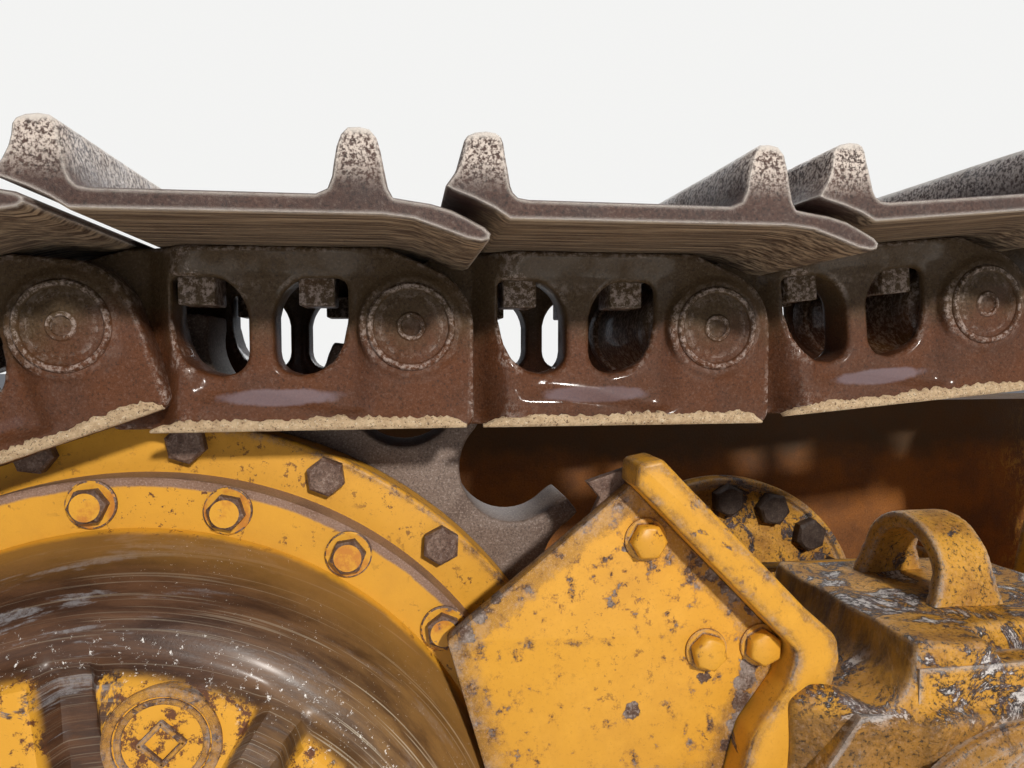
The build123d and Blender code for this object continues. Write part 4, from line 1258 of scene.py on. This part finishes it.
def tooth_outline():
    """Side view of the sprocket's toothed rim: pockets for the bushings between short teeth."""
    tip = SPROCKET_PITCH_R + TOOTH_RISE
    edge = math.asin(POCKET_MOUTH / tip)
    soft, steps = 0.003, 20
    points = []
    for k in range(TEETH):
        turn = TOP_PIN + k * SPROCKET_STEP
        out = Vector((math.cos(turn), math.sin(turn)))
        centre = out * SPROCKET_PITCH_R
        side = Vector((-out.y, out.x))
        points.append((tip * math.cos(turn - edge), tip * math.sin(turn - edge), soft))
        for a in (math.pi * step / steps for step in range(steps + 1)):
            points.append(tuple(centre - side * POCKET_R * math.cos(a) - out * POCKET_R * math.sin(a)))
        points.append((tip * math.cos(turn + edge), tip * math.sin(turn + edge), soft))
    return rounded(points, 2)


# Turned profiles as (radius, y, corner radius). The hub's is from the middle plane.
HUB_PROFILE = (
    (0.119, -HUB_FACE), (0.315, -HUB_FACE, 0.004), (0.315, -0.028, 0.002), (0.275, -0.028, 0.002),
    (0.275, -0.002, 0.003), (0.222, 0.006, 0.008), (0.222, 0.040, 0.004), (0.119, 0.040),
)


class TRACKUNIT_OT_sprocket(bpy.types.Operator):
    """Toothed segments and the hub that carries them"""

    bl_idname = "trackunit.sprocket"
    bl_label = "Sprocket"

    def execute(self, context):
        rim = plate(tooth_outline(), RIM_THICK, 0.003, [ring_points((0, 0), RIM_BORE_R, 180)], 3)
        piece("sprocket_teeth", rim.moved(y=MIDDLE), finish("segment"),
              replaces=["sprocket_rim"])
        hub = lathe(rounded(HUB_PROFILE, 3), 180)
        piece("sprocket_carrier", hub.moved(y=MIDDLE), finish("yellow"),
              replaces=["sprocket_hub"])
        rng = random.Random(sizes().seed)
        heads = bolt_circle(hex_head(0.0235, 0.010), (0, 0), HUB_BOLT_R, HUB_BOLTS, math.radians(84),
                            MIDDLE - HUB_FACE, lambda: rng.uniform(0, 1))
        piece("hub_bolts", heads, finish("dark_bolt"), sharp=25)
        return {"FINISHED"}


# Radii of the cover, and how far its parts stand outboard of the middle plane
DOME_R = 0.2475
DISC_R = 0.066  # of the flat disc in its middle
DOME_HEIGHT = 0.070
VALLEY_FLOOR = COVER_FACE + 0.069


def cover_skin(x, z):
    """Y of the cover's outboard skin at a place in the side view, measured from the track's middle plane."""
    r = math.hypot(x, z)
    if r > DOME_R:
        return -COVER_FACE
    if r < DISC_R + 0.005:
        return -DOME_FACE - 0.004 + 0.002 * float(smooth((r - DISC_R) / 0.005))
    rise = min(1.0, (DOME_R - r) / 0.0535)
    dome = -COVER_FACE - DOME_HEIGHT * math.sin(0.5 * math.pi * rise) ** 0.80
    pad = float(smooth((0.199 - r) / 0.016))
    y = dome + (-DOME_FACE - dome) * pad
    past_eye = float(smooth((r - 0.074) / 0.006))
    y += 0.016 * float(smooth((0.122 - r) / 0.014)) * past_eye
    step = 2 * math.pi / PADS
    turn = (math.atan2(z, x) - PAD_TURN + step / 2) % step - step / 2
    across = (turn - math.copysign(step / 2, turn)) * r
    slant = 0.10 * (r - 0.175)
    valley = float(smooth((0.0185 - abs(across - slant)) / 0.0105)) * float(smooth((0.2035 - r) / 0.02))
    valley *= past_eye
    return y + (-VALLEY_FLOOR - y) * valley if -VALLEY_FLOOR > y else y


def cover_shape():
    """Cover with a bolted flange, a dome, and pads round its middle that valleys part."""
    radial = [
        0.0006, 0.03, 0.060, 0.066, 0.068, 0.0705, 0.0725, 0.076, 0.082, 0.090, 0.100, 0.108, 0.112, 0.116,
        0.120, 0.124, 0.130, 0.138, 0.146, 0.154, 0.162, 0.170, 0.176, 0.181, 0.185, 0.188, 0.191, 0.194,
        0.197, 0.200, 0.203, 0.207, 0.211, 0.215, 0.219, 0.223, 0.227, 0.231, 0.235, 0.238, 0.241, 0.2435,
        0.2455, 0.2470, 0.2478, 0.249, 0.262, 0.276, 0.2788, 0.280, 0.280,
    ]
    edge = [-COVER_FACE, -0.0790, -HUB_FACE]
    depth = [None] * (len(radial) - len(edge)) + edge
    segments = 400
    verts, faces = [], []
    for k in range(segments):
        angle = 2 * math.pi * k / segments
        for r, y in zip(radial, depth):
            x, z = r * math.cos(angle), r * math.sin(angle)
            verts.append((x, cover_skin(x, z) if y is None else y, z))
    count = len(radial)
    for k in range(segments):
        a, b = k * count, (k + 1) % segments * count
        faces += [(a + i, b + i, b + i + 1, a + i + 1) for i in range(count - 1)]
    faces.append(tuple(k * count + count - 1 for k in reversed(range(segments))))
    return facing_out(Shape(verts, faces))


def oil_plug():
    """Plug in its boss, with a square socket in a dished face."""
    boss = [mm((25.5, 8)), (*mm((25.5, -1.5)), 0.001), (*mm((31, -1.5)), 0.0015), mm((31.5, 8))]
    rim = [mm((20, 8)), (*mm((21, -1)), 0.0012), (*mm((24.6, -1)), 0.001), mm((24.6, 8))]
    dish = lathe([mm((0.4, 1.5)), mm((8, 1.5)), mm((20.5, 1.0)), mm((20.5, 6)), mm((0.4, 6))], 48)
    wall = block(mm((-9, -2.5, 6.5)), mm((9, 2, 9.5)), 0.0008)
    walls = [wall.placed(Matrix.Rotation(math.radians(45 + 90 * k), 4, "Y")) for k in range(4)]
    return joined([lathe(rounded(boss, 2), 64), lathe(rounded(rim, 2), 64), dish, *walls])


class TRACKUNIT_OT_final_drive(bpy.types.Operator):
    """Cover of the final drive with its bolts and plug, and the fixed case behind the sprocket"""

    bl_idname = "trackunit.final_drive"
    bl_label = "Final Drive"

    def execute(self, context):
        piece("drive_cover", cover_shape().moved(y=MIDDLE), finish("dome"),
              replaces=["final_drive_cover"], sharp=30)
        rng = random.Random(sizes().seed + 1)
        heads = bolt_circle(hex_head(0.0205, 0.0085, 0.0155, 0.0025), (0, 0), COVER_BOLT_R, COVER_BOLTS,
                            math.radians(76.4), MIDDLE - COVER_FACE, lambda: rng.uniform(0, 1))
        piece("cover_bolts", heads, finish("bolt"), sharp=25)
        plug = oil_plug()
        plugs = [plug.moved(x, MIDDLE - DOME_FACE, z) for x, z in ring_points((0, 0), PLUG_R, 2, PAD_TURN)]
        piece("cover_plugs", joined(plugs), finish("plug"))
        redress("final_drive_case", finish("yellow"))
        return {"FINISHED"}


# Guard, frame and rail

# Outlines in the side view as (x, z, corner radius), in millimetres. The guard ends at the bar's inner edge.
BAR_IN = ((388, 62), (400, 108, 22), (424, 140, 18), (431, 163, 14), (416, 178, 12), (320, 276))
BAR_OUT = (
    (321, 290, 5), (337, 293, 6), (436, 192, 14), (459, 172, 16), (461, 156, 12), (450, 118, 20),
    (452, 60, 10), (440, 10, 10), (409, -14, 4), (388, -14, 3),
)
GUARD = ((323.5, 272.5, 2), (202, 175, 5), (234, 62, 6), *BAR_IN[:-1])
BACKING = ((297, 273), (338, 286), (347, 280), (352, 262), (330, 236), (298, 234), (301, 251), (306, 262))
GUARD_BOLTS = ((334, 236), (377, 159), (416, 160))


class TRACKUNIT_OT_guard(bpy.types.Operator):
    """Sprocket guard with the bar along its edge, and its bolts"""

    bl_idname = "trackunit.guard"
    bl_label = "Sprocket Guard"

    def execute(self, context):
        front = plate(rounded([mm(p) for p in GUARD], 5), GUARD_THICK, 0.0015)
        piece("guard_plate", front.moved(y=MIDDLE - GUARD_FACE + GUARD_THICK / 2), finish("guard"),
              replaces=["sprocket_guard"])
        back_y = MIDDLE - GUARD_FACE + GUARD_THICK
        backing = plate([mm(p) for p in BACKING], BACKING_THICK, 0.0015)
        piece("guard_backing", backing.moved(y=back_y + BACKING_THICK / 2), finish("bare"))
        bar = plate(rounded([mm(p) for p in (*BAR_OUT, *BAR_IN)], 5), BAR_THICK, 0.0035, steps=3)
        piece("guard_bar", bar.moved(y=back_y - BAR_THICK / 2), finish("bar"),
              replaces=["guard_rib"])
        head = hex_head(0.021, 0.009, 0.0145, 0.002)
        heads = [head.placed(to_side(*mm((x, z)), MIDDLE - GUARD_FACE, 0.3 * k))
                 for k, (x, z) in enumerate(GUARD_BOLTS)]
        piece("guard_bolts", joined(heads), finish("guard_bolt"), sharp=50)
        return {"FINISHED"}


# The head's outlines in the side view, in millimetres
HEAD_TOP = 174
LEDGE = 146
COVE = ((460, 96), (460, 130), (474, 132), (488, 140), (497, 152), (500, 166), (500, HEAD_TOP))
NOSE = ((738, LEDGE), (738, 96))
HEAD_STEP = ((553, 173), (561, 160), (578, 148))
HEAD_FACE = ((500, 132.5), (530, 130.5), (667, 130), (722, 78), (722, -52), (662, -107), (500, -107))
HEAD_RAMP = (
    (424, 132), (440, 142), (457, 140), (464.5, 135.5), (473.5, 131.6), (487, 130.2), (502, 129.5),
    (522, 129.5), (522, -107), (482, -107), (440, -60), (424, -20),
)
HEAD_CORE = ((412, 0), (440, 60), (462, 128), (690, 128), (720, 60), (720, 0))
RAMP_SLOPE = 30 / 96
RAMP_END = 0.520


def head_shape():
    """Cast head of the roller frame: a raised box whose rear wall curves out into a ledge."""
    def side(points, low, high, turn=0.008, bevel=0.003):
        outline = rounded([(*mm(p), turn) for p in points], 3)
        return plate(outline, (high - low) / 1000, bevel, steps=3).moved(y=(high + low) / 2000)

    lean = Matrix(((1, 0, 0, 0), (-RAMP_SLOPE, 1, 0, RAMP_END * RAMP_SLOPE), (0, 0, 1, 0), (0, 0, 0, 1)))
    shapes = [
        side((*COVE, (692, HEAD_TOP), *NOSE), -136, 20),
        side((*COVE, *HEAD_STEP, *NOSE), -159, -130),
        side(HEAD_FACE, -172, -142, 0.004, 0.005),
        side(HEAD_RAMP, -172, -142, 0.004, 0.005).placed(lean),
        side(HEAD_CORE, -160, -40),
    ]
    return cast(joined(shapes), 0.0036, 3, 30000, 0.0022)


def pivot_cap():
    """Cap over the pivot with a chamfered rim and raised rings for its bolts."""
    face, back, middle = -CAP_FACE, -0.172, 0.0004
    disc = [(middle, face), (0.103, face, 0.002), (0.110, face + 0.007, 0.002), (0.110, back), (middle, back)]
    ring = [mm((19, -185)), (*mm((19, -188)), 0.001), (*mm((32, -188)), 0.002), mm((35, -185))]
    ring = lathe(rounded(ring, 2), 48)
    places = ring_points((0, 0), CAP_BOLT_R, CAP_BOLTS, CAP_TURN)
    return joined([lathe(rounded(disc, 3), 160), *[ring.moved(x, 0, z) for x, z in places]])


def pivot_flange():
    """Flange that holds the pivot shaft to the frame rail, and the shaft."""
    middle, seat = 0.0004, FLANGE_FACE - 0.004
    flange = [
        (middle, seat), (0.120, seat, 0.003), (0.128, FLANGE_FACE, 0.004), (0.174, FLANGE_FACE, 0.002),
        (0.176, seat, 0.002), (0.184, seat, 0.004), (0.184, 0.300), (middle, 0.300),
    ]
    shaft = lathe([(middle, -0.160), (0.065, -0.160), (0.065, 0.280), (middle, 0.280)], 64)
    return joined([lathe(rounded(flange, 3), 128), shaft])


def eye_shape():
    """Strap bent into an arch, flared at its feet."""
    foot = [(0.0415, 0.012), (0.0425, 0.004), (0.0435, -0.006)]
    path = [(-y, z) for y, z in reversed(foot)] + arc((0, 0.012), 0.0410, 175, 5, 22) + foot
    half_width, half_thick = 0.0205, 0.0065
    verts, faces = [], []
    for k, (y, z) in enumerate(path):
        a, b = Vector(path[max(0, k - 1)]), Vector(path[min(len(path) - 1, k + 1)])
        away = Vector((-(b - a).y, (b - a).x)).normalized() * half_thick
        flare = 0.010 * max(0.0, 1 - (z + 0.006) / 0.030)
        for side, t in ((-1, -1), (-1, 1), (1, 1), (1, -1)):
            verts.append((side * (half_width + flare), y + away.x * t, z + away.y * t))
    for k in range(len(path) - 1):
        faces += [(4 * k + i, 4 * k + (i + 1) % 4, 4 * k + 4 + (i + 1) % 4, 4 * k + 4 + i) for i in range(4)]
    faces += [(0, 1, 2, 3), tuple(4 * (len(path) - 1) + i for i in range(4))]
    return cast(facing_out(Shape(verts, faces)), 0.0022, 3, 9000, 0.0012)


# Top of the frame between head and front end, and the nodes that keep their shape and get paint
BEAM = ((737.6, LEDGE), (842, 82), (2031.3, 82), (2031.3, 66), (842, 66), (737.6, 130))
PAINTED_NODES = (
    "frame_web_inboard", "idler_yoke", "recoil_housing", "guide_guards_rear", "guide_guards_front",
    "equalizer_bracket", "carrier_bracket_1", "carrier_bracket_2",
)


class TRACKUNIT_OT_frame(bpy.types.Operator):
    """Roller frame, its head and pivot, and the machine's frame rail"""

    bl_idname = "trackunit.frame"
    bl_label = "Frame and Rail"

    def execute(self, context):
        for node in PAINTED_NODES:
            redress(node, finish("frame"))
        redress("frame_web_outboard", finish("head"))
        redress("frame_rail", finish("rail"))
        piece("frame_head", head_shape().moved(y=MIDDLE), finish("head"),
              replaces=["pivot_housing"], sharp=60)
        beam = plate([mm(p) for p in BEAM], BEAM_WIDTH, 0.002)
        piece("frame_beam", beam.moved(y=MIDDLE), finish("worn"),
              replaces=["frame_top_plate"])
        piece("pivot_cover", pivot_cap().moved(PIVOT.x, MIDDLE, PIVOT.z), finish("casting"),
              replaces=["pivot_cap"])
        at = (PIVOT.x, PIVOT.z)
        heads = bolt_circle(hex_head(0.030, 0.008), at, CAP_BOLT_R, CAP_BOLTS, CAP_TURN,
                            MIDDLE - CAP_FACE, lambda: 0.4)
        piece("cap_bolts", heads, finish("dark_bolt"), sharp=25)
        eye = centre_of("lifting_eye")
        piece("lifting_loop", eye_shape().moved(eye.x, eye.y, HEAD_TOP / 1000), finish("loop"),
              replaces=["lifting_eye"], sharp=60)
        piece("pivot_flange", pivot_flange().moved(PIVOT.x, MIDDLE, PIVOT.z), finish("flange"),
              replaces=["pivot_shaft"])
        rng = random.Random(sizes().seed + 2)
        heads = bolt_circle(hex_head(0.036, 0.015), at, PIVOT_BOLT_R, PIVOT_BOLTS, math.radians(89.2),
                            MIDDLE + FLANGE_FACE, lambda: rng.uniform(0, 1))
        piece("pivot_bolts", heads, finish("black_bolt"), sharp=25)
        return {"FINISHED"}


class TRACKUNIT_OT_rollers(bpy.types.Operator):
    """Track rollers, carrier rollers and the front idler"""

    bl_idname = "trackunit.rollers"
    bl_label = "Rollers and Idler"

    def execute(self, context):
        nodes = [f"{node}_{number}" for number in range(1, 7) for node in ("track_roller", "roller_shaft")]
        nodes += ["carrier_roller_1", "carrier_roller_2", "idler_wheel", "idler_shaft"]
        for node in nodes:
            redress(node, finish("roller"))
        return {"FINISHED"}


# Stage

# Lamps as name, place, aim, size, power and tint
LAMPS = (
    ("key", (1.15, -3.7, 1.85), (0.4, -0.3, 0.3), 0.24, 152, (1.0, 0.96, 0.90)),
    ("fill", (-2.6, -3.2, 1.2), (0.6, -0.3, 0.1), 2.5, 9, (0.90, 0.94, 1.0)),
    ("back", (1.5, 3.6, 2.4), (1.2, -0.2, 0.1), 2.5, 90, (1, 1, 1)),
    ("top", (1.0, -0.2, 4.0), (1.0, -0.3, 0.0), 3.0, 65, (1, 1, 1)),
)
FLOOR_HALF = 30.0
SKY_STRENGTH = 0.22

# The photograph's viewpoint, with its focal length in pixels of a picture of that width
CAMERA_PLACE = (0.1773, -0.8632, 0.3605)
CAMERA_YAW = 8.45
CAMERA_PITCH = -2.6
CAMERA_FOCAL = 714.0
PICTURE_WIDTH = 1024
SENSOR = 36.0


def lamp(name, place, aim, size, power, tint):
    """A soft square lamp."""
    data = bpy.data.lights.new(name, "AREA")
    data.size = size
    data.energy = power
    data.color = tint
    light = bpy.data.objects.new(name, data)
    light.location = place
    light.rotation_euler = (Vector(aim) - Vector(place)).to_track_quat("-Z", "Y").to_euler()
    bpy.context.scene.collection.objects.link(light)


def pale_floor():
    """Floor under the unit's lowest point."""
    mesh = bpy.data.meshes.new("floor")
    half, low = FLOOR_HALF, CAD_BOX[0].z
    corners = [(-half, -half, low), (half, -half, low), (half, half, low), (-half, half, low)]
    mesh.from_pydata(corners, [], [(0, 1, 2, 3)])
    floor = bpy.data.objects.new("floor", mesh)
    bpy.context.scene.collection.objects.link(floor)
    f = Finish("pale_floor")
    mesh.materials.append(f.done(f.mix(f.noise(0.6, 3), hue("floor_dark"), hue("floor_pale")), 0.8))


def studio_world():
    """Dim light from all round, and a pale backdrop where the camera sees past the floor."""
    world = bpy.data.worlds.new("studio")
    bpy.context.scene.world = world
    world.use_nodes = True
    tree = world.node_tree
    tree.nodes.clear()
    shaders = []
    for shade, strength in (("sky_light", SKY_STRENGTH), ("backdrop", 1.0)):
        shader = tree.nodes.new("ShaderNodeBackground")
        shader.inputs["Color"].default_value = hue(shade)
        shader.inputs["Strength"].default_value = strength
        shaders.append(shader.outputs[0])
    rays = tree.nodes.new("ShaderNodeLightPath")
    seen = tree.nodes.new("ShaderNodeMath")
    seen.operation = "MAXIMUM"
    blend = tree.nodes.new("ShaderNodeMixShader")
    output = tree.nodes.new("ShaderNodeOutputWorld")
    tree.links.new(rays.outputs["Is Camera Ray"], seen.inputs[0])
    tree.links.new(rays.outputs["Is Transmission Ray"], seen.inputs[1])
    tree.links.new(seen.outputs[0], blend.inputs[0])
    tree.links.new(shaders[0], blend.inputs[1])
    tree.links.new(shaders[1], blend.inputs[2])
    tree.links.new(blend.outputs[0], output.inputs["Surface"])


def add_camera():
    """Camera at the photograph's viewing angle."""
    data = bpy.data.cameras.new("camera")
    data.sensor_width = SENSOR
    data.lens = CAMERA_FOCAL / PICTURE_WIDTH * SENSOR
    data.clip_start = 0.01
    camera = bpy.data.objects.new("camera", data)
    camera.location = CAMERA_PLACE
    camera.rotation_mode = "XYZ"
    camera.rotation_euler = (math.radians(90 + CAMERA_PITCH), 0, math.radians(-CAMERA_YAW))
    bpy.context.scene.collection.objects.link(camera)
    bpy.context.scene.camera = camera


class TRACKUNIT_OT_stage(bpy.types.Operator):
    """Pale floor, soft lamps and the camera"""

    bl_idname = "trackunit.stage"
    bl_label = "Stage"

    def execute(self, context):
        pale_floor()
        studio_world()
        for row in LAMPS:
            lamp(*row)
        add_camera()
        context.scene.view_settings.view_transform = "Standard"
        return {"FINISHED"}


class TRACKUNIT_PT_panel(bpy.types.Panel):
    bl_label = "Crawler Track Unit"
    bl_space_type = "VIEW_3D"
    bl_region_type = "UI"
    bl_category = "Track Unit"

    def draw(self, context):
        for group in (context.scene.track_unit_sizes, context.scene.track_unit_colours):
            for name in group.bl_rna.properties.keys():
                if name not in ("rna_type", "name"):
                    self.layout.prop(group, name)
        for operator in OPERATORS:
            self.layout.operator(operator.bl_idname)


OPERATORS = (
    TRACKUNIT_OT_links,
    TRACKUNIT_OT_pins,
    TRACKUNIT_OT_shoes,
    TRACKUNIT_OT_mud,
    TRACKUNIT_OT_sprocket,
    TRACKUNIT_OT_final_drive,
    TRACKUNIT_OT_guard,
    TRACKUNIT_OT_frame,
    TRACKUNIT_OT_rollers,
    TRACKUNIT_OT_stage,
)
CLASSES = (TrackUnitSizes, TrackUnitColours, *OPERATORS, TRACKUNIT_PT_panel)


def register():
    for made in CLASSES:
        bpy.utils.register_class(made)
    bpy.types.Scene.track_unit_sizes = PointerProperty(type=TrackUnitSizes)
    bpy.types.Scene.track_unit_colours = PointerProperty(type=TrackUnitColours)


def unregister():
    del bpy.types.Scene.track_unit_colours
    del bpy.types.Scene.track_unit_sizes
    for made in reversed(CLASSES):
        bpy.utils.unregister_class(made)


def main():
    register()
    bpy.ops.trackunit.links()
    bpy.ops.trackunit.pins()
    bpy.ops.trackunit.shoes()
    bpy.ops.trackunit.mud()
    bpy.ops.trackunit.sprocket()
    bpy.ops.trackunit.final_drive()
    bpy.ops.trackunit.guard()
    bpy.ops.trackunit.frame()
    bpy.ops.trackunit.rollers()
    bpy.ops.trackunit.stage()


if __name__ == "__main__":
    main()
